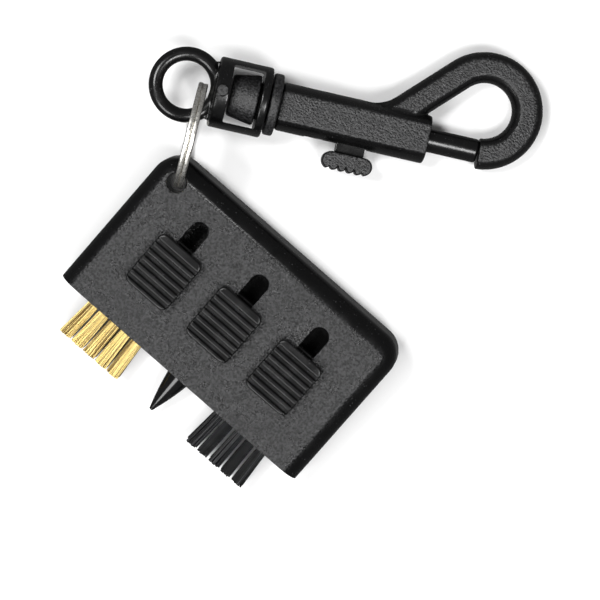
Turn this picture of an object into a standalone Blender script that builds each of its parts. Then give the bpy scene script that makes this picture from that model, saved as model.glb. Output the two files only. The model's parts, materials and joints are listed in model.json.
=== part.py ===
"""Pocket groove cleaner for golf clubs: a flat housing with three slides, a split ring and a snap hook.

The model lies on a table as the real one does. +Z is up and the housing's mouth looks along -Y. The split
ring stands upright through the corner hole and props up the top edge of the housing, so the housing leans on
its mouth edge, and the swivel hook lies beside it on its cage and its loop.

Frames: the housing is drawn in its own frame (x across, y from the mouth to the top edge, z from the back to
the front). The hook is drawn with x from the centre of its eye along the barrel, y to the side of its loop.
"""

import math

import bmesh
import bpy
import numpy as np
from mathutils import Matrix, Vector

MM = 0.001

# ---- Housing ----
HOUSING_WIDTH = 65.0 * MM
HOUSING_HEIGHT = 36.0 * MM
HOUSING_THICKNESS = 10.5 * MM
WALL = 1.6 * MM
COVER_THICKNESS = 1.6 * MM
CORNER_RADIUS = 5.5 * MM
FRONT_FILLET = 3.7 * MM
BACK_CHAMFER = 0.8 * MM
PARTING_GAP = 0.15 * MM
GUIDE_RIB = 1.2 * MM
PIN_RADIUS = 0.9 * MM
PIN_LENGTH = 3.0 * MM
BOSS_WALL = 0.9 * MM
SIDE_PIN_HEIGHT = 19.5 * MM
TOP_PIN_OFFSET = 8.5 * MM

# ---- Ring hole ----
HOLE_FROM_SIDE = 5.6 * MM
HOLE_FROM_TOP = 4.9 * MM
HOLE_CHAMFER = 0.5 * MM
HOLE_BOSS_WALL = 1.3 * MM
HOLE_CLEARANCE = 0.15 * MM

# ---- Slides ----
SLIDE_TRAVEL = 10.2 * MM
SLIDE_CLEARANCE = 0.35 * MM
FIT_CLEARANCE = 0.15 * MM
SLOT_WIDTH = 4.0 * MM
NECK_LENGTH = 5.0 * MM
STEM_WIDTH = 10.0 * MM
STEM_THICKNESS = 2.0 * MM
STEM_BEHIND_BUTTON = 0.1 * MM

# ---- Thumb buttons ----
BUTTON_PITCH = 16.65 * MM
BUTTON_WIDTH = 11.2 * MM
BUTTON_LENGTH = 13.0 * MM
BUTTON_CORNER = 1.6 * MM
BUTTON_THICKNESS = 2.4 * MM
BUTTON_LIFT = 0.2 * MM
BUTTON_FROM_MOUTH = 15.5 * MM
BUTTON_SOCKET_DEPTH = 1.0 * MM
GROOVE_COUNT = 6
GROOVE_PITCH = 1.88 * MM
GROOVE_WIDTH = 0.8 * MM
GROOVE_DEPTH = 0.7 * MM
GROOVE_SHIFT = -0.4 * MM

# ---- Brushes ----
BRUSH_OFFSET = 17.5 * MM
BRASS_PITCH = 3.0 * MM
NYLON_PITCH = 2.9 * MM
ROW_PITCH = 2.8 * MM
TUFTS_PER_ROW = 5
TUFT_ROWS = 2
TUFT_RADIUS = 1.2 * MM
TUFT_TIP_RADIUS = 1.5 * MM
TUFT_SPLAY = 1.09
TUFT_REACH = 9.8 * MM
TUFT_HOLE_DEPTH = 3.8 * MM
TUFT_HOLE_CLEARANCE = 0.12 * MM
ANCHOR_THICKNESS = 0.35 * MM
ANCHOR_WIDTH = 0.6 * MM
ANCHOR_REACH = 0.84 * MM  # half the anchor's length, inside the tuft
ANCHOR_FROM_BOTTOM = 0.45 * MM
HEAD_INSIDE_MOUTH = 0.5 * MM
HEAD_DEPTH = 6.0 * MM
HEAD_EDGE = 1.9 * MM

# ---- Pick ----
PICK_HEAD_WIDTH = 8.4 * MM
PICK_BASE_RADIUS = 2.75 * MM
PICK_TIP_RADIUS = 0.45 * MM
PICK_REACH = 9.5 * MM
PICK_BELLY = 1.35  # power of the taper: 1 is a straight cone, more is fuller

# ---- Split ring ----
RING_OUTER_RADIUS = 11.4 * MM
RING_RADIAL = 1.2 * MM
RING_COIL_WIDTH = 0.98 * MM
RING_COIL_GAP = 0.1 * MM
RING_EDGE = 0.3  # chamfer of the strip's corners, as a share of its half-width
RING_DIRECTION = math.radians(116.5)
RING_LEAN = math.radians(6.0)
RING_LIFT = 0.3 * MM
RING_TURN = math.radians(690.0)
RING_STEP_START = math.radians(330.0)
RING_STEP_END = math.radians(354.0)

# ---- Swivel eye and its cage ----
EYE_RADIUS = 6.5 * MM
EYE_BAR_RADIUS = 1.45 * MM
EYE_RING_GAP = 0.5 * MM
EYE_RING_PULL = 0.5 * MM
CAGE_RADIUS = 7.5 * MM
CAGE_WALL = 1.4 * MM
CAGE_START = 5.9 * MM
CAGE_END_WALL = 2.95 * MM
CAGE_WINDOW = 6.75 * MM
CAGE_BAND = 1.7 * MM
CAGE_EDGE = 0.35 * MM
WEB_ANGLE = math.radians(62.0)  # where the web leaves the eye's bar, on both sides of the hook's axis
WEB_THICKNESS = 2.13 * MM

# ---- Swivel post ----
POST_NECK_RADIUS = 3.85 * MM
POST_HEAD_RADIUS = 5.4 * MM
POST_HEAD_TIP_RADIUS = 4.4 * MM
POST_HEAD_ROUND = 0.7 * MM
SWIVEL_CLEARANCE = 0.45 * MM
COLLAR_RADIUS = 6.6 * MM
COLLAR_THICKNESS = 2.1 * MM
COLLAR_GAP = 0.35 * MM
POST_PLUG_LENGTH = 2.9 * MM

# ---- Hook body ----
BARREL_RADIUS = 5.15 * MM
BARREL_LENGTH = 32.2 * MM
BARREL_FLAT_DEPTH = 0.95 * MM
BARREL_EDGE = 0.4 * MM
BARREL_SLOT_WIDTH = 2.4 * MM
SPRING_CHAMBER_RADIUS = 3.5 * MM
LOOP_CENTRE_RADIUS = 9.15 * MM
LOOP_BAR_WIDTH = 6.5 * MM
LOOP_BAR_HEIGHT = 5.8 * MM
LOOP_FLAT = 0.38  # half-width of the bar's front and back flats, as a share of its half-width
LOOP_OFFSET = 8.7 * MM
LOOP_AHEAD = 10.5 * MM
LOOP_TIP_AHEAD = 0.5 * MM
LOOP_ARM_ANGLE = math.radians(135.0)

# ---- Bolt, thumb tab and spring ----
BOLT_RADIUS = 2.525 * MM
BOLT_TRAVEL = 6.5 * MM
BOLT_FIT = 0.15 * MM
BOLT_TIP_GAP = 0.15 * MM
PISTON_LENGTH = 7.0 * MM
PISTON_FROM_FRONT = 12.1 * MM
TAB_LENGTH = 10.8 * MM
TAB_STAND_OFF = 1.65 * MM
TAB_DEPTH = 3.8 * MM
TAB_THICKNESS = 4.6 * MM
TAB_SCALLOPS = 4
TAB_SCALLOP_DEPTH = 0.8 * MM
TAB_NECK_LENGTH = 6.2 * MM
TAB_NECK_THICKNESS = 1.9 * MM
TAB_SHANK_LENGTH = 4.0 * MM
TAB_SHANK_DEPTH = 2.0 * MM
TAB_SHANK_THICKNESS = 1.7 * MM
SPRING_RADIUS = 2.6 * MM
SPRING_WIRE_RADIUS = 0.25 * MM
SPRING_TURNS = 6.5

# ---- How the hook lies ----
HOOK_HEADING = math.radians(28.5)

# ---- Facets ----
CORNER_STEPS = 10
FILLET_STEPS = 7
ROUND_SIDES = 24
SMALL_ROUND_SIDES = 12
RING_STEP = math.radians(6.0)

# ---- Worked out from the sizes above ----
INNER_BACK = COVER_THICKNESS + SLIDE_CLEARANCE
INNER_FRONT = HOUSING_THICKNESS - WALL
CARRIER_BACK = INNER_BACK
CARRIER_FRONT = INNER_FRONT - SLIDE_CLEARANCE
CARRIER_MIDDLE = (CARRIER_BACK + CARRIER_FRONT) / 2
NECK_START = BUTTON_FROM_MOUTH - NECK_LENGTH / 2
SLOT_START = NECK_START - SLIDE_CLEARANCE
SLOT_END = NECK_START + NECK_LENGTH + SLIDE_TRAVEL + SLIDE_CLEARANCE
STEM_END = BUTTON_FROM_MOUTH + BUTTON_LENGTH / 2 + STEM_BEHIND_BUTTON
BUTTON_BOTTOM = HOUSING_THICKNESS + BUTTON_LIFT
HOLE_X = -HOUSING_WIDTH / 2 + HOLE_FROM_SIDE
HOLE_Y = HOUSING_HEIGHT - HOLE_FROM_TOP

RING_HALF_WIDTH = RING_COIL_WIDTH + RING_COIL_GAP / 2
RING_INNER_RADIUS = RING_OUTER_RADIUS - RING_RADIAL
RING_MEAN_RADIUS = RING_OUTER_RADIUS - RING_RADIAL / 2


def ring_in_hole():
    """Distance from the hole's axis to the ring's centre, and the bore that lets the upright ring through.

    The ring's outer side comes nearest the bore at the ring's middle, its inner side at the bore's far end.
    The ring is centred so that both come equally near, and the bore is that distance and a clearance.
    """
    half = HOUSING_THICKNESS / 2 - HOLE_CHAMFER + RING_LIFT
    inner = math.sqrt(RING_INNER_RADIUS**2 - half**2)
    aside = RING_HALF_WIDTH + half * math.tan(RING_LEAN)
    gain = RING_OUTER_RADIUS**2 + RING_HALF_WIDTH**2 - inner**2 - aside**2
    offset = gain / (2 * (RING_OUTER_RADIUS - inner))
    return offset, math.hypot(RING_OUTER_RADIUS - offset, RING_HALF_WIDTH) + HOLE_CLEARANCE


RING_OFFSET, HOLE_RADIUS = ring_in_hole()
RING_CENTRE = Vector(
    (
        HOLE_X + RING_OFFSET * math.cos(RING_DIRECTION),
        HOLE_Y + RING_OFFSET * math.sin(RING_DIRECTION),
        HOUSING_THICKNESS / 2 + RING_LIFT,
    )
)


def housing_tilt():
    """The angle at which the ring's centre stands one ring radius above the table."""
    reach = math.hypot(RING_CENTRE.y, RING_CENTRE.z)
    return math.asin(RING_OUTER_RADIUS / reach) - math.atan2(RING_CENTRE.z, RING_CENTRE.y)


HOUSING_TILT = housing_tilt()

# Stations along the hook's axis, measured from the centre of the eye.
WINDOW_START = CAGE_START + CAGE_END_WALL
WINDOW_END = WINDOW_START + CAGE_WINDOW
CAGE_END = WINDOW_END + CAGE_BAND
COLLAR_START = CAGE_END + COLLAR_GAP
BARREL_START = COLLAR_START + COLLAR_THICKNESS + FIT_CLEARANCE
BARREL_END = BARREL_START + BARREL_LENGTH
LOOP_CENTRE = BARREL_END + LOOP_AHEAD
LOOP_TIP = LOOP_CENTRE + LOOP_TIP_AHEAD
BOLT_TIP = LOOP_TIP - BOLT_TIP_GAP
PISTON_END = BARREL_END - PISTON_FROM_FRONT
PISTON_START = PISTON_END - PISTON_LENGTH
TAB_MIDDLE = (PISTON_START + PISTON_END) / 2
PLUG_END = COLLAR_START + COLLAR_THICKNESS + POST_PLUG_LENGTH
LOOP_FAR_END = LOOP_CENTRE + LOOP_CENTRE_RADIUS + LOOP_BAR_WIDTH / 2
HOOK_PITCH = math.atan2(CAGE_RADIUS - LOOP_BAR_HEIGHT / 2, LOOP_FAR_END - CAGE_END)
EYE_HEIGHT = CAGE_RADIUS * math.cos(HOOK_PITCH) + CAGE_END * math.sin(HOOK_PITCH)

X_AXIS, Y_AXIS, Z_AXIS = Vector((1, 0, 0)), Vector((0, 1, 0)), Vector((0, 0, 1))


# ---- Solids ----
def circle(sides, turn=0.0):
    """Points of a unit circle, as (across, along) pairs."""
    angles = turn + np.arange(sides) * math.tau / sides
    return [(math.cos(a), math.sin(a)) for a in angles]


def chamfered_square(cut):
    """A unit square with its corners cut off, as (across, along) pairs."""
    keep = 1 - cut
    return [(1, keep), (keep, 1), (-keep, 1), (-1, keep), (-1, -keep), (-keep, -1), (keep, -1), (1, -keep)]


def flat_topped(flat, steps):
    """A unit round section with a flat of this half-width on its top and bottom, as (across, along) pairs."""
    quarter = np.linspace(0, math.pi / 2, steps + 1)
    side = [(flat + (1 - flat) * math.cos(a), math.sin(a)) for a in quarter]
    upper = side + [(-x, y) for x, y in reversed(side)]
    lower = [(-x, -y) for x, y in upper]
    return upper[:-1] + lower[:-1]


def mesh_from(bm):
    bmesh.ops.recalc_face_normals(bm, faces=bm.faces)
    mesh = bpy.data.meshes.new("solid")
    bm.to_mesh(mesh)
    bm.free()
    mesh.shade_smooth()
    mesh.set_sharp_from_angle(angle=math.radians(35))
    return mesh


def sweep(stations, section, closed=False):
    """A solid along stations of (centre, across, along), the vectors that aim and scale its section."""
    bm = bmesh.new()
    rings = [[bm.verts.new(c + u * a + v * b) for a, b in section] for c, u, v in stations]
    count = len(section)
    for i in range(len(rings) if closed else len(rings) - 1):
        here, there = rings[i], rings[(i + 1) % len(rings)]
        for j in range(count):
            k = (j + 1) % count
            bm.faces.new((here[j], here[k], there[k], there[j]))
    if not closed:
        bm.faces.new(rings[0])
        bm.faces.new(rings[-1])
    return mesh_from(bm)


def turned(profile, sides=ROUND_SIDES):
    """A solid of revolution about x from (x, radius) pairs, with flat ends."""
    stations = [(X_AXIS * x, Y_AXIS * r, Z_AXIS * r) for x, r in profile]
    return sweep(stations, circle(sides, math.pi / sides))


def prism(outline, low, high):
    """An outline in x and y, extruded along z."""
    stations = [(Z_AXIS * z, X_AXIS, Y_AXIS) for z in (low, high)]
    return sweep(stations, outline)


def box(x, y, z):
    """A box from three (low, high) pairs."""
    outline = [(x[0], y[0]), (x[1], y[0]), (x[1], y[1]), (x[0], y[1])]
    return prism(outline, z[0], z[1])


def arc(centre, radius, start, end, steps):
    """Points of an arc in x and y, from the start angle to the end angle."""
    angles = np.linspace(start, end, steps + 1)
    return [(centre[0] + radius * math.cos(a), centre[1] + radius * math.sin(a)) for a in angles]


def rounded_rectangle(width, length, corner, steps=4):
    """A rectangle about the origin with round corners."""
    x, y = width / 2 - corner, length / 2 - corner
    quarter = math.pi / 2
    points = []
    for i, (cx, cy) in enumerate([(x, y), (-x, y), (-x, -y), (x, -y)]):
        points += arc((cx, cy), corner, i * quarter, (i + 1) * quarter, steps)
    return points


def housing_outline(inset, mouth):
    """The housing's outline in plan, moved inwards by inset except at the mouth."""
    half = HOUSING_WIDTH / 2
    x, y = half - CORNER_RADIUS, HOUSING_HEIGHT - CORNER_RADIUS
    radius = CORNER_RADIUS - inset
    quarter = math.pi / 2
    points = [(inset - half, mouth), (half - inset, mouth)]
    points += arc((x, y), radius, 0, quarter, CORNER_STEPS)
    points += arc((-x, y), radius, quarter, 2 * quarter, CORNER_STEPS)
    return points


def layered(levels, mouth):
    """The housing's outline stacked through (inset, height) levels."""
    bm = bmesh.new()
    rings = []
    for inset, z in levels:
        rings.append([bm.verts.new((x, y, z)) for x, y in housing_outline(inset, mouth)])
    count = len(rings[0])
    for here, there in zip(rings, rings[1:]):
        for j in range(count):
            k = (j + 1) % count
            bm.faces.new((here[j], here[k], there[k], there[j]))
    bm.faces.new(rings[0])
    bm.faces.new(rings[-1])
    return mesh_from(bm)


def fillet_levels(wall, top, radius):
    """Levels of a quarter-round front edge: from the side wall, up and inwards to the front face."""
    angles = np.linspace(0, math.pi / 2, FILLET_STEPS + 1)
    return [(wall + radius * (1 - math.cos(a)), top - radius * (1 - math.sin(a))) for a in angles]


# ---- Objects ----
MATERIALS = {}


def finish(name, colour, roughness, metallic=0.0):
    """Register a Principled material."""
    material = bpy.data.materials.new(name)
    material.use_nodes = True
    shader = material.node_tree.nodes["Principled BSDF"]
    shader.inputs["Base Color"].default_value = (*colour, 1.0)
    shader.inputs["Roughness"].default_value = roughness
    shader.inputs["Metallic"].default_value = metallic
    MATERIALS[name] = material


def frame(name, parent=None, location=(0, 0, 0), rotation=None):
    """An empty that carries pieces."""
    empty = bpy.data.objects.new(name, None)
    bpy.context.scene.collection.objects.link(empty)
    empty.parent = parent
    empty.matrix_local = Matrix.Translation(location) @ (rotation or Matrix.Identity(4))
    return empty


def piece(name, mesh, parent, material, location=(0, 0, 0)):
    """A named piece of the object."""
    thing = bpy.data.objects.new(name, mesh)
    bpy.context.scene.collection.objects.link(thing)
    thing.parent = parent
    thing.location = location
    if not mesh.materials:
        mesh.materials.append(MATERIALS[material])
    return thing


def combine(target, meshes, operation):
    """Cut each mesh from the target, or join it on, in the target's own frame."""
    for mesh in meshes:
        tool = bpy.data.objects.new(target.name + "_tool", mesh)
        bpy.context.scene.collection.objects.link(tool)
        tool.parent = target.parent
        tool.location = target.location
        tool.hide_render = True
        tool.display_type = "WIRE"
        modifier = target.modifiers.new(operation.lower(), "BOOLEAN")
        modifier.operation = operation
        modifier.solver = "EXACT"
        modifier.object = tool


def cut(target, *meshes):
    combine(target, meshes, "DIFFERENCE")


def join(target, *meshes):
    combine(target, meshes, "UNION")


def moved(mesh, matrix):
    mesh.transform(matrix)
    return mesh


def upright(profile, x, y, sides=ROUND_SIDES):
    """A turned solid with its axis along z at (x, y); the profile holds (z, radius) pairs."""
    turn = Matrix.Translation((x, y, 0)) @ Matrix.Rotation(-math.pi / 2, 4, "Y")
    return moved(turned(profile, sides), turn)


# ---- Housing ----
def pin_places():
    side = HOUSING_WIDTH / 2 - WALL - PIN_RADIUS - FIT_CLEARANCE - BOSS_WALL
    top = HOUSING_HEIGHT - WALL - PIN_RADIUS - FIT_CLEARANCE - BOSS_WALL
    return [(-side, SIDE_PIN_HEIGHT), (side, SIDE_PIN_HEIGHT), (-TOP_PIN_OFFSET, top), (TOP_PIN_OFFSET, top)]


def slot_cutter(x):
    """A through slot along the slide, round at both ends."""
    radius = SLOT_WIDTH / 2
    outline = arc((x, SLOT_END - radius), radius, 0, math.pi, 8)
    outline += arc((x, SLOT_START + radius), radius, math.pi, math.tau, 8)
    return prism(outline, INNER_FRONT - WALL, HOUSING_THICKNESS + WALL)


def head_half_width(pitch):
    return (TUFTS_PER_ROW - 1) * pitch / 2 + HEAD_EDGE


def guide_ribs():
    """Ribs inside the front wall on both sides of each brush head."""
    length = (WALL / 2, HEAD_INSIDE_MOUTH + HEAD_DEPTH + SLIDE_TRAVEL + SLIDE_CLEARANCE)
    height = (INNER_BACK, INNER_FRONT + WALL / 2)
    ribs = []
    for side, pitch in ((-1, BRASS_PITCH), (1, NYLON_PITCH)):
        reach = head_half_width(pitch) + SLIDE_CLEARANCE
        for face in (BRUSH_OFFSET - reach - GUIDE_RIB, BRUSH_OFFSET + reach):
            edges = sorted((side * face, side * (face + GUIDE_RIB)))
            ribs.append(box(edges, length, height))
    return ribs


def make_front_shell(parent):
    back = COVER_THICKNESS + PARTING_GAP
    outer = layered([(0, back)] + fillet_levels(0, HOUSING_THICKNESS, FRONT_FILLET), 0)
    shell = piece("front_shell", outer, parent, "housing_plastic")
    inner_fillet = FRONT_FILLET - WALL
    hollow = layered([(WALL, 0)] + fillet_levels(WALL, INNER_FRONT, inner_fillet), -WALL)
    cut(shell, hollow)
    join(shell, *guide_ribs())
    boss_radius = PIN_RADIUS + FIT_CLEARANCE + BOSS_WALL
    boss_span = (INNER_BACK, INNER_FRONT + WALL / 2)
    for x, y in pin_places():
        join(shell, upright([(z, boss_radius) for z in boss_span], x, y, SMALL_ROUND_SIDES))
    hole_boss = HOLE_RADIUS + HOLE_BOSS_WALL
    join(shell, upright([(z, hole_boss) for z in (back, INNER_FRONT + WALL / 2)], HOLE_X, HOLE_Y))
    for x, y in pin_places():
        bore = PIN_RADIUS + FIT_CLEARANCE
        depth = (0, COVER_THICKNESS + PIN_LENGTH + FIT_CLEARANCE)
        cut(shell, upright([(z, bore) for z in depth], x, y, SMALL_ROUND_SIDES))
    front = HOUSING_THICKNESS
    through = [
        (0, HOLE_RADIUS),
        (front - HOLE_CHAMFER, HOLE_RADIUS),
        (front + HOLE_CHAMFER, HOLE_RADIUS + 2 * HOLE_CHAMFER),
    ]
    cut(shell, upright(through, HOLE_X, HOLE_Y))
    for x in (-BUTTON_PITCH, 0, BUTTON_PITCH):
        cut(shell, slot_cutter(x))
    return shell


def make_back_cover(parent):
    plate = layered([(BACK_CHAMFER, 0), (0, BACK_CHAMFER), (0, COVER_THICKNESS)], 0)
    cover = piece("back_cover", plate, parent, "housing_plastic")
    pin_span = (COVER_THICKNESS / 2, COVER_THICKNESS + PIN_LENGTH)
    for x, y in pin_places():
        join(cover, upright([(z, PIN_RADIUS) for z in pin_span], x, y, SMALL_ROUND_SIDES))
    through = [
        (-HOLE_CHAMFER, HOLE_RADIUS + 2 * HOLE_CHAMFER),
        (HOLE_CHAMFER, HOLE_RADIUS),
        (2 * COVER_THICKNESS, HOLE_RADIUS),
    ]
    cut(cover, upright(through, HOLE_X, HOLE_Y))
    return cover


# ---- Sliding tools ----
def make_button(name, slide):
    """A thumb button over its slot: cross grooves between two flat lands, and a socket below for the neck."""
    top = BUTTON_BOTTOM + BUTTON_THICKNESS
    slab = prism(rounded_rectangle(BUTTON_WIDTH, BUTTON_LENGTH, BUTTON_CORNER), BUTTON_BOTTOM, top)
    button = piece(name, slab, slide, "button_plastic")
    across, height = (-BUTTON_WIDTH, BUTTON_WIDTH), (top - GROOVE_DEPTH, top + WALL)
    for i in range(GROOVE_COUNT):
        middle = (i - (GROOVE_COUNT - 1) / 2) * GROOVE_PITCH + GROOVE_SHIFT
        cut(button, box(across, (middle - GROOVE_WIDTH / 2, middle + GROOVE_WIDTH / 2), height))
    width = SLOT_WIDTH - 2 * SLIDE_CLEARANCE + 2 * FIT_CLEARANCE
    length = NECK_LENGTH + 2 * FIT_CLEARANCE
    socket = rounded_rectangle(width, length, width / 2 - FIT_CLEARANCE)
    cut(button, prism(socket, HOUSING_THICKNESS, BUTTON_BOTTOM + BUTTON_SOCKET_DEPTH))
    return button


def make_carrier(name, slide, head_width, head_x):
    """The slider inside the housing: a head at the mouth, a stem under the slot, a neck up to the button."""
    head_start = HEAD_INSIDE_MOUTH - BUTTON_FROM_MOUTH
    head_end = head_start + HEAD_DEPTH
    stem_end = STEM_END - BUTTON_FROM_MOUTH
    half, stem = head_width / 2, STEM_WIDTH / 2
    outline = [
        (head_x - half, head_start),
        (head_x + half, head_start),
        (head_x + half, head_end),
        (max(stem, head_x - half), head_end),
        (stem, stem_end),
        (-stem, stem_end),
        (min(-stem, head_x + half), head_end),
        (head_x - half, head_end),
    ]
    if half < stem:
        outline = outline[:2] + [(head_x + half, head_end), (stem, head_end)] + outline[4:6]
        outline += [(-stem, head_end), (head_x - half, head_end)]
    carrier = piece(name, prism(outline, CARRIER_BACK, CARRIER_FRONT), slide, "carrier_plastic")
    below = (CARRIER_BACK - WALL, CARRIER_FRONT - STEM_THICKNESS)
    cut(carrier, box((-head_width, head_width), (head_end, stem_end + WALL), below))
    neck_width = SLOT_WIDTH - 2 * SLIDE_CLEARANCE
    neck = rounded_rectangle(neck_width, NECK_LENGTH, neck_width / 2 - FIT_CLEARANCE)
    neck_top = BUTTON_BOTTOM + BUTTON_SOCKET_DEPTH - FIT_CLEARANCE
    join(carrier, prism(neck, CARRIER_FRONT - STEM_THICKNESS / 2, neck_top))
    return carrier


def tuft_places(pitch):
    """Centres of a brush's tufts, as (x, z) from the middle of the head."""
    columns = (np.arange(TUFTS_PER_ROW) - (TUFTS_PER_ROW - 1) / 2) * pitch
    rows = (np.arange(TUFT_ROWS) - (TUFT_ROWS - 1) / 2) * ROW_PITCH
    return [(x, z) for z in rows for x in columns]


def tuft_mesh(x, z):
    """A bundle of bristles: straight in its hole, then spreading and leaning outwards to the tip."""
    face = HEAD_INSIDE_MOUTH
    bottom = face + TUFT_HOLE_DEPTH - 2 * ANCHOR_WIDTH
    rings = [(bottom, 1.0, TUFT_RADIUS), (face, 1.0, TUFT_RADIUS), (-TUFT_REACH, TUFT_SPLAY, TUFT_TIP_RADIUS)]
    stations = []
    for y, spread, radius in rings:
        centre = Vector((x * (spread - 1), y - face, z * (spread - 1)))
        stations.append((centre, X_AXIS * radius, Z_AXIS * radius))
    return sweep(stations, circle(SMALL_ROUND_SIDES))


def make_brush(name, slide, head_x, pitch, material):
    """A carrier with two rows of tufts, each held in its hole by a flat wire anchor."""
    carrier = make_carrier(name + "_carrier", slide, 2 * head_half_width(pitch), head_x)
    face = HEAD_INSIDE_MOUTH - BUTTON_FROM_MOUTH
    radius = TUFT_RADIUS + TUFT_HOLE_CLEARANCE
    quarter_turn = Matrix.Rotation(math.pi / 2, 4, "Z")
    for number, (x, z) in enumerate(tuft_places(pitch), start=1):
        place = Vector((head_x + x, face, CARRIER_MIDDLE + z))
        hole = turned([(-WALL, radius), (TUFT_HOLE_DEPTH, radius)], SMALL_ROUND_SIDES)
        cut(carrier, moved(hole, Matrix.Translation(place) @ quarter_turn))
        piece(f"{name}_tuft_{number:02d}", tuft_mesh(x, z), slide, material, place)
        end = TUFT_HOLE_DEPTH - ANCHOR_FROM_BOTTOM
        thick = (-ANCHOR_THICKNESS / 2, ANCHOR_THICKNESS / 2)
        anchor = box((-ANCHOR_REACH, ANCHOR_REACH), (end - ANCHOR_WIDTH, end), thick)
        piece(f"{name}_anchor_{number:02d}", anchor, slide, "anchor_steel", place)
    return carrier


def make_pick(slide):
    """The middle carrier, moulded in one piece with its tapered pick."""
    carrier = make_carrier("pick_carrier", slide, PICK_HEAD_WIDTH, 0.0)
    steps = np.linspace(0, 1, 9)
    length = PICK_REACH + HEAD_INSIDE_MOUTH
    taper = PICK_BASE_RADIUS - PICK_TIP_RADIUS
    profile = [(-WALL, PICK_BASE_RADIUS)]
    profile += [(s * length, PICK_TIP_RADIUS + taper * (1 - s**PICK_BELLY)) for s in steps]
    profile += [(length + PICK_TIP_RADIUS / 2, PICK_TIP_RADIUS / 2)]
    place = Vector((0, HEAD_INSIDE_MOUTH - BUTTON_FROM_MOUTH, CARRIER_MIDDLE))
    spike = turned(profile, ROUND_SIDES)
    join(carrier, moved(spike, Matrix.Translation(place) @ Matrix.Rotation(-math.pi / 2, 4, "Z")))
    return carrier


def make_tools(housing):
    """Each slide's empty is on its own sliding line, under the middle of its button."""
    tools = (("brass", -BUTTON_PITCH), ("pick", 0.0), ("nylon", BUTTON_PITCH))
    slides = {n: frame(n + "_slide_axis", housing, (x, BUTTON_FROM_MOUTH, 0)) for n, x in tools}
    for name in slides:
        make_button(name + "_button", slides[name])
    lead = BRUSH_OFFSET - BUTTON_PITCH
    make_brush("brass", slides["brass"], -lead, BRASS_PITCH, "brass_wire")
    make_pick(slides["pick"])
    make_brush("nylon", slides["nylon"], lead, NYLON_PITCH, "nylon_bristle")


# ---- Split ring ----
def make_split_ring(lean):
    """Two flat coils from one strip of wire, with a short step from the first coil to the second."""
    centre = X_AXIS * RING_OFFSET
    shift = (RING_COIL_WIDTH + RING_COIL_GAP) / 2
    angles = np.linspace(0, RING_TURN, round(RING_TURN / RING_STEP) + 1)
    stations = []
    for angle in angles:
        share = (angle - RING_STEP_START) / (RING_STEP_END - RING_STEP_START)
        share = min(max(share, 0.0), 1.0)
        outward = X_AXIS * math.cos(angle) + Z_AXIS * math.sin(angle)
        place = centre + outward * RING_MEAN_RADIUS + Y_AXIS * shift * (2 * share - 1)
        stations.append((place, outward * RING_RADIAL / 2, Y_AXIS * RING_COIL_WIDTH / 2))
    return piece("split_ring", sweep(stations, chamfered_square(RING_EDGE)), lean, "ring_nickel")


# ---- Snap hook ----
def make_swivel_eye(parent):
    """The eye that links to the ring, with the slotted cage that holds the post's head."""
    radius, edge = CAGE_RADIUS, CAGE_EDGE
    profile = [
        (CAGE_START, radius - edge),
        (CAGE_START + edge, radius),
        (CAGE_END - edge, radius),
        (CAGE_END, radius - edge),
    ]
    cage = piece("swivel_eye", turned(profile, 32), parent, "hook_plastic")
    inner = CAGE_RADIUS - CAGE_WALL
    cut(cage, box((WINDOW_START, WINDOW_END), (-inner, inner), (-2 * radius, 2 * radius)))
    neck_hole = POST_NECK_RADIUS + SWIVEL_CLEARANCE
    cut(cage, turned([(WINDOW_END - WALL, neck_hole), (CAGE_END + WALL, neck_hole)]))
    angles = np.arange(32) * math.tau / 32
    bar = []
    for angle in angles:
        outward = X_AXIS * math.cos(angle) + Y_AXIS * math.sin(angle)
        bar.append((outward * EYE_RADIUS, outward * EYE_BAR_RADIUS, Z_AXIS * EYE_BAR_RADIUS))
    join(cage, sweep(bar, circle(SMALL_ROUND_SIDES), closed=True))
    web = arc((0, 0), EYE_RADIUS, WEB_ANGLE, -WEB_ANGLE, 12)
    into_wall = max(EYE_RADIUS, CAGE_START) + CAGE_END_WALL / 4
    web += [(into_wall, -EYE_RADIUS), (into_wall, EYE_RADIUS)]
    join(cage, prism(web, -WEB_THICKNESS / 2, WEB_THICKNESS / 2))
    return cage


def make_swivel_post(parent):
    """The headed post that turns in the cage, with its collar and the plug that closes the barrel."""
    head_start = WINDOW_START + SWIVEL_CLEARANCE
    head_end = WINDOW_END - SWIVEL_CLEARANCE
    plug = SPRING_CHAMBER_RADIUS - FIT_CLEARANCE
    edge = CAGE_EDGE
    profile = [
        (head_start, POST_HEAD_TIP_RADIUS - POST_HEAD_ROUND),
        (head_start + POST_HEAD_ROUND, POST_HEAD_TIP_RADIUS),
        (head_end - POST_HEAD_ROUND, POST_HEAD_RADIUS),
        (head_end, POST_HEAD_RADIUS),
        (head_end, POST_NECK_RADIUS),
        (COLLAR_START, POST_NECK_RADIUS),
        (COLLAR_START, COLLAR_RADIUS - edge),
        (COLLAR_START + edge, COLLAR_RADIUS),
        (COLLAR_START + COLLAR_THICKNESS - edge, COLLAR_RADIUS),
        (COLLAR_START + COLLAR_THICKNESS, COLLAR_RADIUS - edge),
        (COLLAR_START + COLLAR_THICKNESS, plug),
        (PLUG_END, plug),
    ]
    return piece("swivel_post", turned(profile), parent, "hook_plastic")


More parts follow.
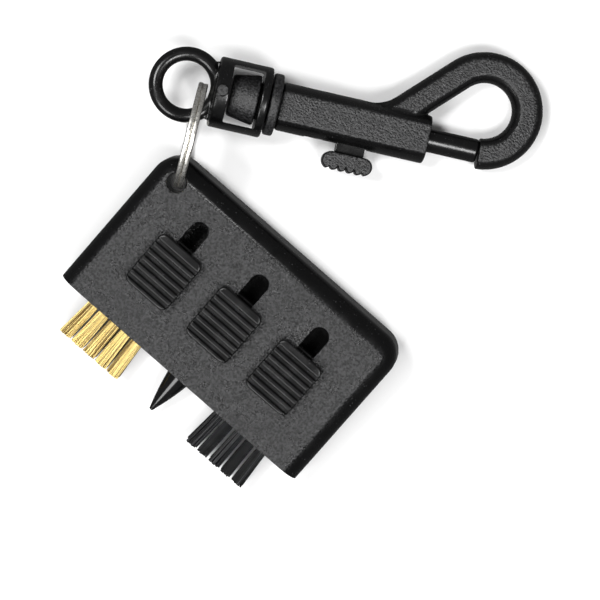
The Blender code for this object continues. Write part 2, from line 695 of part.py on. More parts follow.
def loop_stations():
    """The hook's bar: from inside the barrel up the straight arm and round the loop to its tip."""
    centre = Vector((LOOP_CENTRE, LOOP_OFFSET, 0))
    width, height = LOOP_BAR_WIDTH / 2, Z_AXIS * LOOP_BAR_HEIGHT / 2
    leave = Vector((math.cos(LOOP_ARM_ANGLE), math.sin(LOOP_ARM_ANGLE), 0))
    arm = Vector((-leave.y, leave.x, 0))
    join_point = centre + leave * LOOP_CENTRE_RADIUS
    root = join_point + arm * (join_point.y / abs(arm.y))
    stations = [(root, leave * width, height)]
    last = -math.pi / 2 + math.asin((LOOP_TIP - LOOP_CENTRE) / LOOP_CENTRE_RADIUS)
    for angle in np.linspace(LOOP_ARM_ANGLE, last, 31):
        outward = Vector((math.cos(angle), math.sin(angle), 0))
        stations.append((centre + outward * LOOP_CENTRE_RADIUS, outward * width, height))
    return stations


def make_hook_body(parent):
    edge = BARREL_EDGE
    radius = BARREL_RADIUS
    profile = [
        (BARREL_START, radius - edge),
        (BARREL_START + edge, radius),
        (BARREL_END - edge, radius),
        (BARREL_END, radius - edge),
    ]
    hook = piece("hook_body", turned(profile, 32), parent, "hook_plastic")
    flat = radius - BARREL_FLAT_DEPTH
    for side in (-1, 1):
        height = sorted((side * flat, side * 2 * radius))
        cut(hook, box((BARREL_START - WALL, BARREL_END + WALL), (-2 * radius, 2 * radius), height))
    join(hook, sweep(loop_stations(), flat_topped(LOOP_FLAT, 4)))
    shoulder = PISTON_END + FIT_CLEARANCE
    cut(hook, turned([(BARREL_START - WALL, SPRING_CHAMBER_RADIUS), (shoulder, SPRING_CHAMBER_RADIUS)]))
    bearing = BOLT_RADIUS + BOLT_FIT
    cut(hook, turned([(shoulder - WALL, bearing), (BARREL_END + WALL / 2, bearing)]))
    half_neck = TAB_NECK_LENGTH / 2 + SLIDE_CLEARANCE
    slot_length = (TAB_MIDDLE - half_neck - BOLT_TRAVEL, TAB_MIDDLE + half_neck)
    slot_width = (-BARREL_SLOT_WIDTH / 2, BARREL_SLOT_WIDTH / 2)
    cut(hook, box(slot_length, (-2 * radius, -SPRING_CHAMBER_RADIUS / 2), slot_width))
    return hook


def make_bolt(slide):
    piston = SPRING_CHAMBER_RADIUS - BOLT_FIT
    edge = BARREL_EDGE
    profile = [
        (PISTON_START, piston),
        (PISTON_END, piston),
        (PISTON_END, BOLT_RADIUS),
        (BOLT_TIP - edge, BOLT_RADIUS),
        (BOLT_TIP, BOLT_RADIUS - edge),
    ]
    bolt = piece("bolt", turned(profile), slide, "hook_plastic")
    half = TAB_SHANK_LENGTH / 2 + FIT_CLEARANCE
    thick = TAB_NECK_THICKNESS / 2 + FIT_CLEARANCE
    depth = (-2 * piston, TAB_SHANK_DEPTH + FIT_CLEARANCE - piston)
    cut(bolt, box((TAB_MIDDLE - half, TAB_MIDDLE + half), depth, (-thick, thick)))
    return bolt


def tab_outline():
    """The thumb tab from above: a straight inner edge, round ends and a scalloped outer edge."""
    near = BARREL_RADIUS + TAB_STAND_OFF
    far = near + TAB_DEPTH
    end = TAB_DEPTH / 2
    half = TAB_LENGTH / 2 - end
    left, right = TAB_MIDDLE - half, TAB_MIDDLE + half
    outline = [(right, -near), (left, -near)]
    outline += arc((left, -near - end), end, math.pi / 2, math.pi * 1.4, 5)[1:]
    steps = np.linspace(0, 1, 6 * TAB_SCALLOPS + 1)
    for s in steps:
        wave = abs(math.sin(s * TAB_SCALLOPS * math.pi))
        outline.append((left + s * 2 * half, TAB_SCALLOP_DEPTH * (1 - wave) - far))
    outline += arc((right, -near - end), end, -math.pi * 0.4, math.pi / 2, 5)[:-1]
    return outline


def make_thumb_tab(slide):
    slab = prism(tab_outline(), -TAB_THICKNESS / 2, TAB_THICKNESS / 2)
    tab = piece("thumb_tab", slab, slide, "hook_plastic")
    thick = (-TAB_NECK_THICKNESS / 2, TAB_NECK_THICKNESS / 2)
    into_tab = -BARREL_RADIUS - TAB_STAND_OFF - TAB_DEPTH / 3
    piston = SPRING_CHAMBER_RADIUS - BOLT_FIT
    neck = TAB_NECK_LENGTH / 2
    shank = TAB_SHANK_LENGTH / 2
    join(tab, box((TAB_MIDDLE - neck, TAB_MIDDLE + neck), (into_tab, -piston - FIT_CLEARANCE), thick))
    narrow = (-TAB_SHANK_THICKNESS / 2, TAB_SHANK_THICKNESS / 2)
    depth = (-BARREL_RADIUS, TAB_SHANK_DEPTH - piston)
    join(tab, box((TAB_MIDDLE - shank, TAB_MIDDLE + shank), depth, narrow))
    return tab


def make_bolt_spring(parent):
    """A compression spring from the post's plug to the bolt's piston."""
    start = PLUG_END + SPRING_WIRE_RADIUS + FIT_CLEARANCE
    end = PISTON_START - SPRING_WIRE_RADIUS - FIT_CLEARANCE
    steps = np.linspace(0, 1, round(SPRING_TURNS * 12) + 1)
    stations = []
    for s in steps:
        angle = s * SPRING_TURNS * math.tau
        outward = Y_AXIS * math.cos(angle) + Z_AXIS * math.sin(angle)
        place = X_AXIS * (start + s * (end - start)) + outward * SPRING_RADIUS
        stations.append((place, outward * SPRING_WIRE_RADIUS, X_AXIS * SPRING_WIRE_RADIUS))
    return piece("bolt_spring", sweep(stations, circle(6)), parent, "spring_steel")


# ---- Whole object ----
def make_materials():
    finish("housing_plastic", (0.035, 0.035, 0.037), 0.55)
    finish("button_plastic", (0.030, 0.030, 0.032), 0.50)
    finish("carrier_plastic", (0.012, 0.012, 0.013), 0.25)
    finish("brass_wire", (0.62, 0.40, 0.13), 0.35, 0.9)
    finish("nylon_bristle", (0.012, 0.012, 0.013), 0.40)
    finish("anchor_steel", (0.45, 0.45, 0.46), 0.35, 1.0)
    finish("ring_nickel", (0.72, 0.71, 0.69), 0.18, 1.0)
    finish("hook_plastic", (0.022, 0.022, 0.024), 0.42)
    finish("spring_steel", (0.40, 0.40, 0.42), 0.30, 1.0)


def eye_place(lean):
    """Where the eye's centre lies: the ring's upper strand passes through the eye, near the cage side."""
    to_world = lean.matrix_world
    upwards = to_world.to_3x3() @ Z_AXIS
    along = to_world.to_3x3() @ X_AXIS
    centre = to_world @ (X_AXIS * RING_OFFSET)
    rise = (EYE_HEIGHT - centre.z) / RING_MEAN_RADIUS
    outwards = math.sqrt(1 - rise**2)
    crossing = centre + (along * outwards + upwards * rise) * RING_MEAN_RADIUS
    heading = Vector((math.cos(RING_DIRECTION), math.sin(RING_DIRECTION), 0))
    aside = Vector((-heading.y, heading.x, 0))
    room = EYE_RADIUS - EYE_BAR_RADIUS - RING_HALF_WIDTH - EYE_RING_GAP
    place = crossing - heading * EYE_RING_PULL + aside * room
    return Vector((place.x, place.y, EYE_HEIGHT))


def make_hook(origin, lean):
    bpy.context.view_layer.update()
    place = eye_place(lean)
    rotation = Matrix.Rotation(HOOK_HEADING, 4, "Z") @ Matrix.Rotation(HOOK_PITCH, 4, "Y")
    eye = frame("eye_axis", origin, place, rotation)
    swivel = frame("swivel_axis", eye)
    bolt = frame("bolt_axis", swivel)
    make_swivel_eye(eye)
    make_swivel_post(swivel)
    make_hook_body(swivel)
    make_bolt(bolt)
    make_thumb_tab(bolt)
    make_bolt_spring(swivel)


def rest_on_origin(origin):
    """Move everything so that the middle of the underside of its box is at the world's origin."""
    bpy.context.view_layer.update()
    depsgraph = bpy.context.evaluated_depsgraph_get()
    corners = []
    for thing in bpy.context.scene.objects:
        if thing.type == "MESH" and not thing.hide_render:
            evaluated = thing.evaluated_get(depsgraph)
            corners += [evaluated.matrix_world @ v.co for v in evaluated.data.vertices]
    points = np.array(corners)
    low, high = points.min(axis=0), points.max(axis=0)
    origin.location = (-(low[0] + high[0]) / 2, -(low[1] + high[1]) / 2, -low[2])


def main():
    for thing in list(bpy.data.objects):
        bpy.data.objects.remove(thing)
    make_materials()
    origin = frame("table_frame")
    housing = frame("housing_frame", origin, rotation=Matrix.Rotation(HOUSING_TILT, 4, "X"))
    make_front_shell(housing)
    make_back_cover(housing)
    make_tools(housing)
    turn = Matrix.Rotation(RING_DIRECTION, 4, "Z")
    hole = frame("ring_axis", housing, (HOLE_X, HOLE_Y, RING_CENTRE.z), turn)
    lean = frame("ring_lean", hole, rotation=Matrix.Rotation(RING_LEAN, 4, "X"))
    make_split_ring(lean)
    make_hook(origin, lean)
    rest_on_origin(origin)


main()
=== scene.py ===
# %% [markdown]
# # A pocket groove cleaner for golf clubs
#
# The object is a flat black housing with three thumb-slid tools: a brass wire brush, a plastic pick and a nylon
# brush. A split ring joins it to a plastic snap hook with a swivel eye. The working model is loaded first and
# stays as it is. Every piece that shows is then a fine surface laid over it, made from the same sizes.

import json

import bmesh
import bpy
import numpy as np
from mathutils import Matrix


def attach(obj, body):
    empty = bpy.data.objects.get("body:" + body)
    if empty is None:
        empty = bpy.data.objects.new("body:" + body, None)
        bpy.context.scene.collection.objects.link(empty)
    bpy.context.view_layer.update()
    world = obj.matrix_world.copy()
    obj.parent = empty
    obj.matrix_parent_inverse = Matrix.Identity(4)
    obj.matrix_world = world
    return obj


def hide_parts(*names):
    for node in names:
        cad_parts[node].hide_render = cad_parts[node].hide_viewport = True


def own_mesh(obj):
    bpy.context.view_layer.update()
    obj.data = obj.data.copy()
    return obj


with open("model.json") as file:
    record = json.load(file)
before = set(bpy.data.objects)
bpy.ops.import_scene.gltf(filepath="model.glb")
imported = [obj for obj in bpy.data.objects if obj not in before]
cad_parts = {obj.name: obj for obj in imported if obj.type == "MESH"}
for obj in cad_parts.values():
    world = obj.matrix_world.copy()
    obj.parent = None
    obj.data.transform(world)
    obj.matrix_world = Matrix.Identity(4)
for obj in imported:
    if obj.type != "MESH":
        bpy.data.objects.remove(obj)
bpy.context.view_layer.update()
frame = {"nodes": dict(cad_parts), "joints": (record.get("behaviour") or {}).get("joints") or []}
MM = 0.001
joints = {joint["name"]: joint for joint in frame["joints"]}
print("joints:", ", ".join(joints))

# %% [markdown]
# ## Where things are
#
# The housing and the hook lie at odd angles on the table, so each gets its own frame: a 4x4 matrix that carries
# points from the piece's own directions to the table's. A joint's axis and position already say where those
# directions are, so the frames come from the joints, and no angle is copied by hand.

# %% Frames of the housing, the ring and the hook
def placing(x, z, point, own_point):
    """The matrix whose columns are x, z cross x, z, and an origin that puts own_point at point."""
    axes = np.column_stack([x, np.cross(z, x), z])
    matrix = np.eye(4)
    matrix[:3, :3] = axes
    matrix[:3, 3] = np.array(point) - axes @ np.array(own_point)
    return matrix


def carried(points, place):
    """Points turned and moved by a 4x4 matrix."""
    return points @ place[:3, :3].T + place[:3, 3]


WIDTH, HEIGHT, THICK = 65.0 * MM, 36.0 * MM, 10.5 * MM
HOLE = np.array([-26.9, 31.1, 5.55]) * MM  # the ring's hole, in the housing's own frame
along_slide = np.array(joints["brass_slide"]["axis"])
out_of_face = np.array(joints["ring_swing"]["axis"])
across_face = np.cross(along_slide, out_of_face)
HOUSING = placing(across_face, out_of_face, joints["ring_swing"]["pos_m"], HOLE)
hook_x, hook_z = (np.array(joints[name]["axis"]) for name in ("swivel", "eye_turn"))
HOOK = placing(hook_x, hook_z, joints["eye_turn"]["pos_m"], (0, 0, 0))
print("housing origin", HOUSING[:3, 3].round(5), "hook origin", HOOK[:3, 3].round(5))

# %% [markdown]
# ## Surfaces from arrays
#
# A surface is a grid of points: rows along one parameter and columns along the other. The faces between
# neighbouring points follow from counting, so one helper serves every shape, and an open end is closed with one
# flat face. Meshes get smooth shading, with sharp edges only where two faces meet at a steep angle.

# %% Grids, loops and meshes
def grid_faces(rows, columns, around_rows=False, around_columns=False):
    """Quads of a grid counted row by row, joined back to the start where a direction goes all the way round."""
    r = np.arange(rows if around_rows else rows - 1)[:, None]
    c = np.arange(columns if around_columns else columns - 1)[None, :]
    r_next, c_next = (r + 1) % rows, (c + 1) % columns
    corners = [r * columns + c, r * columns + c_next, r_next * columns + c_next, r_next * columns + c]
    return np.stack(np.broadcast_arrays(*corners), axis=-1).reshape(-1, 4).tolist()


def tube(rings, closed=False):
    """A skin over rings of points, shape (rings, points, 3): round the columns, capped at the two ends."""
    rows, columns = rings.shape[:2]
    faces = grid_faces(rows, columns, closed, True)
    if not closed:
        faces.append(list(range(columns))[::-1])
        faces.append(list(range((rows - 1) * columns, rows * columns)))
    return rings.reshape(-1, 3), faces


def gathered(parts):
    """Several (points, faces) parts as one, with the later parts' faces counted on."""
    points = np.concatenate([p for p, _ in parts])
    starts = np.cumsum([0] + [len(p) for p, _ in parts[:-1]])
    faces = [[i + int(start) for i in face] for start, (_, part) in zip(starts, parts) for face in part]
    return points, faces


def mesh_object(name, part, place=None):
    """An object at the origin whose mesh is the part, carried to its place, with its faces turned outwards."""
    points, faces = part
    if place is not None:
        points = carried(points, place)
    mesh = bpy.data.meshes.new(name)
    mesh.from_pydata(points.tolist(), [], faces)
    bm = bmesh.new()
    bm.from_mesh(mesh)
    bmesh.ops.remove_doubles(bm, verts=bm.verts, dist=1e-6)
    bmesh.ops.recalc_face_normals(bm, faces=bm.faces)
    bm.to_mesh(mesh)
    bm.free()
    thing = bpy.data.objects.new(name, mesh)
    bpy.context.scene.collection.objects.link(thing)
    return thing


# %% Cutting, fusing and smoothing
def applied(thing):
    """Bakes the object's modifiers into its mesh."""
    bpy.context.view_layer.update()
    evaluated = thing.evaluated_get(bpy.context.evaluated_depsgraph_get())
    mesh = bpy.data.meshes.new_from_object(evaluated)
    thing.modifiers.clear()
    old, thing.data = thing.data, mesh
    bpy.data.meshes.remove(old)
    return thing


def shaped(thing, others, operation):
    """The object joined with, or cut by, other objects, which are used up."""
    for other in others:
        step = thing.modifiers.new("shape", "BOOLEAN")
        step.operation = operation
        step.object = other
    applied(thing)
    for other in others:
        bpy.data.objects.remove(other)
    return thing


def melted(thing, cell, passes):
    """Remeshed on a grid of small cells and relaxed, so that joined shapes flow together as in a mould."""
    remesh = thing.modifiers.new("melt", "REMESH")
    remesh.mode = "VOXEL"
    remesh.voxel_size = cell
    relax = thing.modifiers.new("relax", "SMOOTH")
    relax.factor = 0.5
    relax.iterations = passes
    return applied(thing)


def smooth(thing, degrees=40.0):
    """Smooth shading, with an edge kept sharp where its faces meet at more than this angle."""
    thing.data.shade_smooth()
    if degrees:
        thing.data.set_sharp_from_angle(angle=np.radians(degrees))
    return thing


def shown(thing, body, slot, material, *nodes):
    """Hands a finished piece over: its material, the body it rides on and the plain nodes it stands for."""
    thing.data.materials.clear()
    thing.data.materials.append(material)
    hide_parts(*nodes)
    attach(thing, body)
    print(f"{thing.name}: {len(thing.data.polygons)} faces")
    return thing


# %% [markdown]
# ## Shared shader effects
#
# Three effects come back in several finishes: the fine pitted grain of a spark-eroded mould, the faint cloudy
# change of tone that handling leaves, and specks of dust. Each is a node group with named inputs and outputs,
# built once. Everything reads Object coordinates in metres, so a scale of 5000 is a pattern of about 0.2 mm.

# %% A small language for node groups
class Sheet:
    """Builds nodes one after another in a node tree, linking inputs by name."""

    def __init__(self, tree):
        self.tree = tree

    def add(self, kind, settings=(), **inputs):
        node = self.tree.nodes.new(kind)
        for key, value in dict(settings).items():
            setattr(node, key, value)
        for key, value in inputs.items():
            socket = node.inputs[int(key[1:])] if key[1:].isdigit() else node.inputs[key.replace("_", " ")]
            if isinstance(value, bpy.types.NodeSocket):
                self.tree.links.new(value, socket)
            else:
                socket.default_value = value
        return node

    def math(self, operation, a, b=0.0, c=0.0):
        node = self.add("ShaderNodeMath", {"operation": operation}, i0=a, i1=b, i2=c)
        return node.outputs[0]

    def spread(self, value, low, high, start=0.0, end=1.0):
        """value from low..high to start..end, smoothly and clamped."""
        settings = {"interpolation_type": "SMOOTHSTEP"}
        inputs = {"Value": value, "From_Min": low, "From_Max": high, "To_Min": start, "To_Max": end}
        return self.add("ShaderNodeMapRange", settings, **inputs).outputs["Result"]

    def noise(self, vector, scale, detail=2.0, roughness=0.5):
        node = self.add("ShaderNodeTexNoise", Vector=vector, Scale=scale, Detail=detail, Roughness=roughness)
        return node.outputs["Fac"]


def new_group(name, inputs, outputs):
    """An empty node group with float inputs (name, value) and float outputs."""
    tree = bpy.data.node_groups.new(name, "ShaderNodeTree")
    for key, value in inputs:
        tree.interface.new_socket(key, in_out="INPUT", socket_type="NodeSocketFloat").default_value = value
    for key in outputs:
        tree.interface.new_socket(key, in_out="OUTPUT", socket_type="NodeSocketFloat")
    sheet = Sheet(tree)
    given, result = sheet.add("NodeGroupInput"), sheet.add("NodeGroupOutput")
    place = sheet.add("ShaderNodeTexCoord").outputs["Object"]
    return sheet, given.outputs, result.inputs, place


# %% Spark grain, handling and dust
def make_spark_grain():
    """Pits and bumps: fine noise for the texture, with rounder cells for the pits between."""
    sheet, given, result, place = new_group("spark_grain", [("Scale", 4200.0)], ["Height", "Fleck"])
    fine = sheet.noise(place, given["Scale"], 2.0, 0.6)
    settings = {"feature": "SMOOTH_F1"}
    cells = sheet.add("ShaderNodeTexVoronoi", settings, Vector=place, Scale=given["Scale"], Smoothness=0.6)
    mixed = sheet.math("MULTIPLY_ADD", cells.outputs["Distance"], 0.6, fine)
    sheet.tree.links.new(mixed, result["Height"])
    sheet.tree.links.new(sheet.spread(mixed, 0.62, 0.98), result["Fleck"])
    return sheet.tree


def make_handling():
    """A soft cloudiness of a few millimetres, as value around a half."""
    sheet, given, result, place = new_group("handling", [("Scale", 260.0)], ["Tone"])
    sheet.tree.links.new(sheet.noise(place, given["Scale"], 4.0, 0.6), result["Tone"])
    return sheet.tree


def make_dust():
    """Rare pale specks: the highest peaks of a fine noise, where a coarse noise allows them."""
    sheet, given, result, place = new_group("dust", [("Amount", 0.5)], ["Speck"])
    fine = sheet.noise(place, 2600.0, 1.0)
    patch = sheet.noise(place, 150.0, 2.0)
    height = sheet.math("MULTIPLY_ADD", patch, 0.25, fine)
    speck = sheet.spread(height, 0.86, 0.9)
    sheet.tree.links.new(sheet.math("MULTIPLY", speck, given["Amount"]), result["Speck"])
    return sheet.tree


GROUPS = {"spark_grain": make_spark_grain(), "handling": make_handling(), "dust": make_dust()}
print("node groups:", ", ".join(GROUPS))

# %% [markdown]
# ## Finishes
#
# The housing, the buttons and the hook are black plastic, but no two look alike: the housing's face is grained
# and its rounded edge polished, the buttons are satin, the hook is grained only on its flats. One recipe makes
# all of them from a few values. The mask that says where the grain lies is an attribute on the mesh, so that it
# follows the shape. Metals and bristles have recipes of their own, with a tone for every single wire; the wires of
# a brush's rear row also get painted shade, a darker tone standing for the shade of the front row.

# %% Black plastics
FLECK_GAIN = 8.0  # how much paler the bottoms of the pits are than the rest


def grouped(sheet, name, **inputs):
    return sheet.add("ShaderNodeGroup", {"node_tree": GROUPS[name]}, **inputs)


def blank_material(name, **constants):
    """A material with one Principled shader whose plain values are set on its own sockets."""
    material = bpy.data.materials.new(name)
    material.use_nodes = True
    shader = material.node_tree.nodes["Principled BSDF"]
    for key, value in constants.items():
        shader.inputs[key.replace("_", " ")].default_value = value
    return material, Sheet(material.node_tree), shader.inputs


def black_plastic(name, base, polished, grained, bump, scale=4200.0, specular=0.5):
    """Moulded black plastic: base tone, roughness where polished and where grained, and the grain's depth."""
    material, sheet, shader = blank_material(name, Specular_IOR_Level=specular, IOR=1.5)
    grain = grouped(sheet, "spark_grain", Scale=scale)
    tone = grouped(sheet, "handling").outputs["Tone"]
    speck = grouped(sheet, "dust", Amount=0.35).outputs["Speck"]
    mask = sheet.add("ShaderNodeAttribute", {"attribute_name": "grained"}).outputs["Fac"]
    mask = sheet.spread(mask, 0.1, 0.9)
    fleck = sheet.math("MULTIPLY", grain.outputs["Fleck"], mask)
    light = sheet.math("MULTIPLY_ADD", fleck, FLECK_GAIN, sheet.spread(tone, 0.3, 0.7, 0.9, 1.1))
    level = sheet.math("MULTIPLY", light, base)
    level = sheet.math("MULTIPLY_ADD", speck, 0.12, level)
    colour = sheet.add("ShaderNodeCombineColor", Red=level, Green=level, Blue=sheet.math("MULTIPLY", level, 1.04))
    rough = sheet.spread(mask, 0.0, 1.0, polished, grained)
    rough = sheet.math("MULTIPLY_ADD", sheet.spread(tone, 0.35, 0.65, -0.5, 0.5), 0.08, rough)
    height = sheet.math("MULTIPLY", grain.outputs["Height"], sheet.spread(mask, 0.0, 1.0, 0.06, 1.0))
    relief = sheet.add("ShaderNodeBump", Strength=bump, Distance=0.00016, Height=height)
    links = material.node_tree.links
    links.new(colour.outputs["Color"], shader["Base Color"])
    links.new(rough, shader["Roughness"])
    links.new(relief.outputs["Normal"], shader["Normal"])
    return material


CASE = black_plastic("housing_plastic_grained", 0.003, 0.24, 0.29, 1.0, 2000.0, 0.25)
BUTTON = black_plastic("button_plastic_satin", 0.0035, 0.24, 0.3, 0.2, 3600.0, 0.36)
GLOSSY = black_plastic("carrier_plastic_glossy", 0.003, 0.16, 0.3, 0.1)
HOOK_PLASTIC = black_plastic("hook_plastic_moulded", 0.003, 0.24, 0.36, 0.9, 2300.0, 0.42)
print("plastics:", CASE.name, BUTTON.name, GLOSSY.name, HOOK_PLASTIC.name)


# %% Metals and bristles
def strand_material(name, dark, light, rough, metallic, streak):
    """Wires or filaments: each one's tone comes from its own attribute, with a fine streak along it. For the rear row
    that tone also holds painted shade, which puts its wires near the dark end of the ramp.
    """
    material, sheet, shader = blank_material(name, Specular_IOR_Level=0.5)
    tone = sheet.add("ShaderNodeAttribute", {"attribute_name": "strand"}).outputs["Fac"]
    place = sheet.add("ShaderNodeTexCoord").outputs["Object"]
    fine = sheet.noise(place, 5200.0, 2.0)
    mixed = sheet.math("MULTIPLY_ADD", sheet.math("SUBTRACT", fine, 0.5), streak, tone)
    ramp = sheet.add("ShaderNodeValToRGB", Fac=mixed)
    ramp.color_ramp.elements[0].color = (*dark, 1)
    ramp.color_ramp.elements[1].color = (*light, 1)
    roughness = sheet.spread(fine, 0.3, 0.7, rough - 0.07, rough + 0.09)
    links = material.node_tree.links
    links.new(ramp.outputs["Color"], shader["Base Color"])
    links.new(roughness, shader["Roughness"])
    shader["Metallic"].default_value = metallic
    return material


def metal(name, colour, rough, scratch_scale):
    """Plated or drawn metal: fine scratches change its roughness and relief, and a cloud its colour."""
    material, sheet, shader = blank_material(name, Metallic=1.0)
    place = sheet.add("ShaderNodeTexCoord").outputs["Object"]
    scratch = sheet.noise(place, scratch_scale, 3.0, 0.7)
    tone = grouped(sheet, "handling", Scale=420.0).outputs["Tone"]
    shade = sheet.spread(tone, 0.3, 0.7, 0.86, 1.06)
    tint = [sheet.math("MULTIPLY", shade, part) for part in colour]
    mixed = sheet.add("ShaderNodeCombineColor", Red=tint[0], Green=tint[1], Blue=tint[2])
    relief = sheet.add("ShaderNodeBump", Strength=0.05, Distance=0.00003, Height=scratch)
    links = material.node_tree.links
    links.new(mixed.outputs["Color"], shader["Base Color"])
    links.new(sheet.spread(scratch, 0.3, 0.75, rough * 0.75, rough * 1.5), shader["Roughness"])
    links.new(relief.outputs["Normal"], shader["Normal"])
    return material


BRASS = strand_material("brass_wire_drawn", (0.10, 0.04, 0.005), (1.0, 0.80, 0.32), 0.34, 0.7, 0.8)
NYLON = strand_material("nylon_bristle_black", (0.0008, 0.0008, 0.001), (0.028, 0.028, 0.03), 0.18, 0.0, 0.3)
NICKEL = metal("ring_nickel_bright", (0.96, 0.94, 0.89), 0.30, 2400.0)
STEEL = metal("spring_steel_drawn", (0.46, 0.46, 0.48), 0.28, 5200.0)
ANCHOR = metal("anchor_steel_flat", (0.50, 0.49, 0.47), 0.34, 3600.0)
print("metals and bristles:", BRASS.name, NYLON.name, NICKEL.name, STEEL.name, ANCHOR.name)

# %% [markdown]
# ## Housing
#
# The case is two mouldings: a deep front with a generous round along its edge, and a flat back cover. The outline
# is a rectangle open at the mouth, with two rounded corners at the top. A formula gives that outline moved inwards
# by any amount, so stacking it through the levels of a quarter round gives the polished edge. The slots and the
# ring's hole are cut with shapes that flare at the face, which leaves the small rounded rim of a real moulding.

# %% Outline and levels
WALL, COVER, PARTING = 1.6 * MM, 1.6 * MM, 0.15 * MM
CORNER, FRONT_ROUND, BACK_EDGE = 5.5 * MM, 3.7 * MM, 0.8 * MM
GRAIN_FROM_SIDE, GRAIN_FROM_TOP = 2.65 * MM, 3.5 * MM


def case_outline(inset, mouth):
    """The outline moved inwards by inset: straight mouth corners, and quarter circles at the top ones."""
    half, top = WIDTH / 2, HEIGHT - CORNER
    turn = np.linspace(0, np.pi / 2, 25)
    radius = CORNER - inset
    right = np.column_stack([half - CORNER + radius * np.cos(turn), top + radius * np.sin(turn)])
    left = (right * [-1, 1])[::-1]
    corners = np.array([[inset - half, mouth], [half - inset, mouth]])
    return np.concatenate([corners, right, left])


def quarter_round(inset, top, radius, steps):
    """Levels of a rounded front edge: inset grows as 1 - cos, height as sin, over a quarter turn."""
    turn = np.linspace(0, np.pi / 2, steps)
    return np.column_stack([inset + radius * (1 - np.cos(turn)), top - radius * (1 - np.sin(turn))])


def stacked(levels, mouth):
    """The outline at each (inset, height) level, as a closed skin."""
    rings = []
    for inset, height in levels:
        outline = case_outline(inset, mouth)
        rings.append(np.column_stack([outline, np.full(len(outline), height)]))
    return tube(np.array(rings))


# %% Slots, hole and ribs
def long_hole(x, low, high, radius, steps=16):
    """A slot's outline: two half circles joined by straight sides."""
    turn = np.linspace(0, np.pi, steps)
    upper = np.column_stack([x + radius * np.cos(turn), high - radius + radius * np.sin(turn)])
    lower = np.column_stack([x - radius * np.cos(turn), low + radius - radius * np.sin(turn)])
    return np.concatenate([upper, lower])


def flared(outline_at, low, high, rim):
    """A cutter from low to above high, whose outline_at(grow) widens as a quarter round of radius rim."""
    turn = np.linspace(0, np.pi / 2, 6)
    heights = np.concatenate([[low], high - rim + rim * np.sin(turn), [high + rim]])
    grows = np.concatenate([[0], rim * (1 - np.cos(turn)), [rim]])
    rings = [np.column_stack([outline_at(g), np.full(len(outline_at(g)), h)]) for g, h in zip(grows, heights)]
    return tube(np.array(rings))


def block(x, y, z):
    """A box from three (low, high) pairs."""
    corners = np.array([[x[0], y[0]], [x[1], y[0]], [x[1], y[1]], [x[0], y[1]]])
    return tube(np.array([np.column_stack([corners, np.full(4, h)]) for h in z]))


def circle(x, y, radius, sides=48):
    turn = np.arange(sides) * 2 * np.pi / sides
    return np.column_stack([x + radius * np.cos(turn), y + radius * np.sin(turn)])


BUTTON_PITCH, SLOT_HALF, HOLE_RADIUS = 16.65 * MM, 2.0 * MM, 2.003 * MM
SLOT_LOW, SLOT_HIGH = 12.65 * MM, 28.55 * MM
INNER_FRONT, INNER_BACK = THICK - WALL, COVER + 0.35 * MM
BRUSH_OFFSET, BRASS_PITCH, NYLON_PITCH, HEAD_EDGE, RIB = 17.5 * MM, 3.0 * MM, 2.9 * MM, 1.9 * MM, 1.2 * MM


def grain_mask(thing):
    """1 on the grained face and 0 on the polished edge, from the distance to the housing's outline."""
    points = np.empty(len(thing.data.vertices) * 3)
    thing.data.vertices.foreach_get("co", points)
    own = (points.reshape(-1, 3) - HOUSING[:3, 3]) @ HOUSING[:3, :3]
    side = (WIDTH / 2 - np.abs(own[:, 0])) / GRAIN_FROM_SIDE
    top = (HEIGHT - own[:, 1]) / GRAIN_FROM_TOP
    beyond = np.column_stack([CORNER - side * GRAIN_FROM_SIDE, CORNER - top * GRAIN_FROM_TOP]).clip(0)
    round_off = (CORNER - np.hypot(*beyond.T)) / GRAIN_FROM_SIDE
    distance = np.minimum(np.minimum(side, top), round_off)
    attribute = thing.data.attributes.new("grained", "FLOAT", "POINT")
    attribute.data.foreach_set("value", (0.5 + (distance - 1) * 1.6).clip(0, 1))


# %% Front of the case
levels = np.concatenate([[[0, COVER + PARTING]], quarter_round(0, THICK, FRONT_ROUND, 28)])
case_front = mesh_object("case_front", stacked(levels, 0.0), HOUSING)
hollow_levels = np.concatenate([[[WALL, 0]], quarter_round(WALL, INNER_FRONT, FRONT_ROUND - WALL, 10)])
hollow = mesh_object("hollow", stacked(hollow_levels, -WALL), HOUSING)
shaped(case_front, [hollow], "DIFFERENCE")
ribs = []
for side, pitch in ((-1, BRASS_PITCH), (1, NYLON_PITCH)):
    reach = 2 * pitch + HEAD_EDGE + 0.35 * MM
    for start in (BRUSH_OFFSET - reach - RIB, BRUSH_OFFSET + reach):
        across = sorted((side * start, side * (start + RIB)))
        part = block(across, (WALL / 2, 17 * MM), (INNER_BACK, INNER_FRONT + WALL / 2))
        ribs.append(mesh_object("rib", part, HOUSING))
boss_rings = [np.column_stack([circle(*HOLE[:2], HOLE_RADIUS + 1.3 * MM), np.full(48, h)]) for h in
              (COVER + PARTING, INNER_FRONT + WALL / 2)]
shaped(case_front, ribs + [mesh_object("boss", tube(np.array(boss_rings)), HOUSING)], "UNION")
cutters = [
    flared(lambda grow, x=x: long_hole(x, SLOT_LOW - grow, SLOT_HIGH + grow, SLOT_HALF + grow), 6 * MM, THICK, 0.2 * MM)
    for x in (-BUTTON_PITCH, 0, BUTTON_PITCH)
]
cutters.append(flared(lambda grow: circle(*HOLE[:2], HOLE_RADIUS + grow), -MM, THICK, 0.5 * MM))
shaped(case_front, [mesh_object("cutter", part, HOUSING) for part in cutters], "DIFFERENCE")
grain_mask(case_front)
shown(smooth(case_front), "housing", "housing_plastic", CASE, "front_shell")

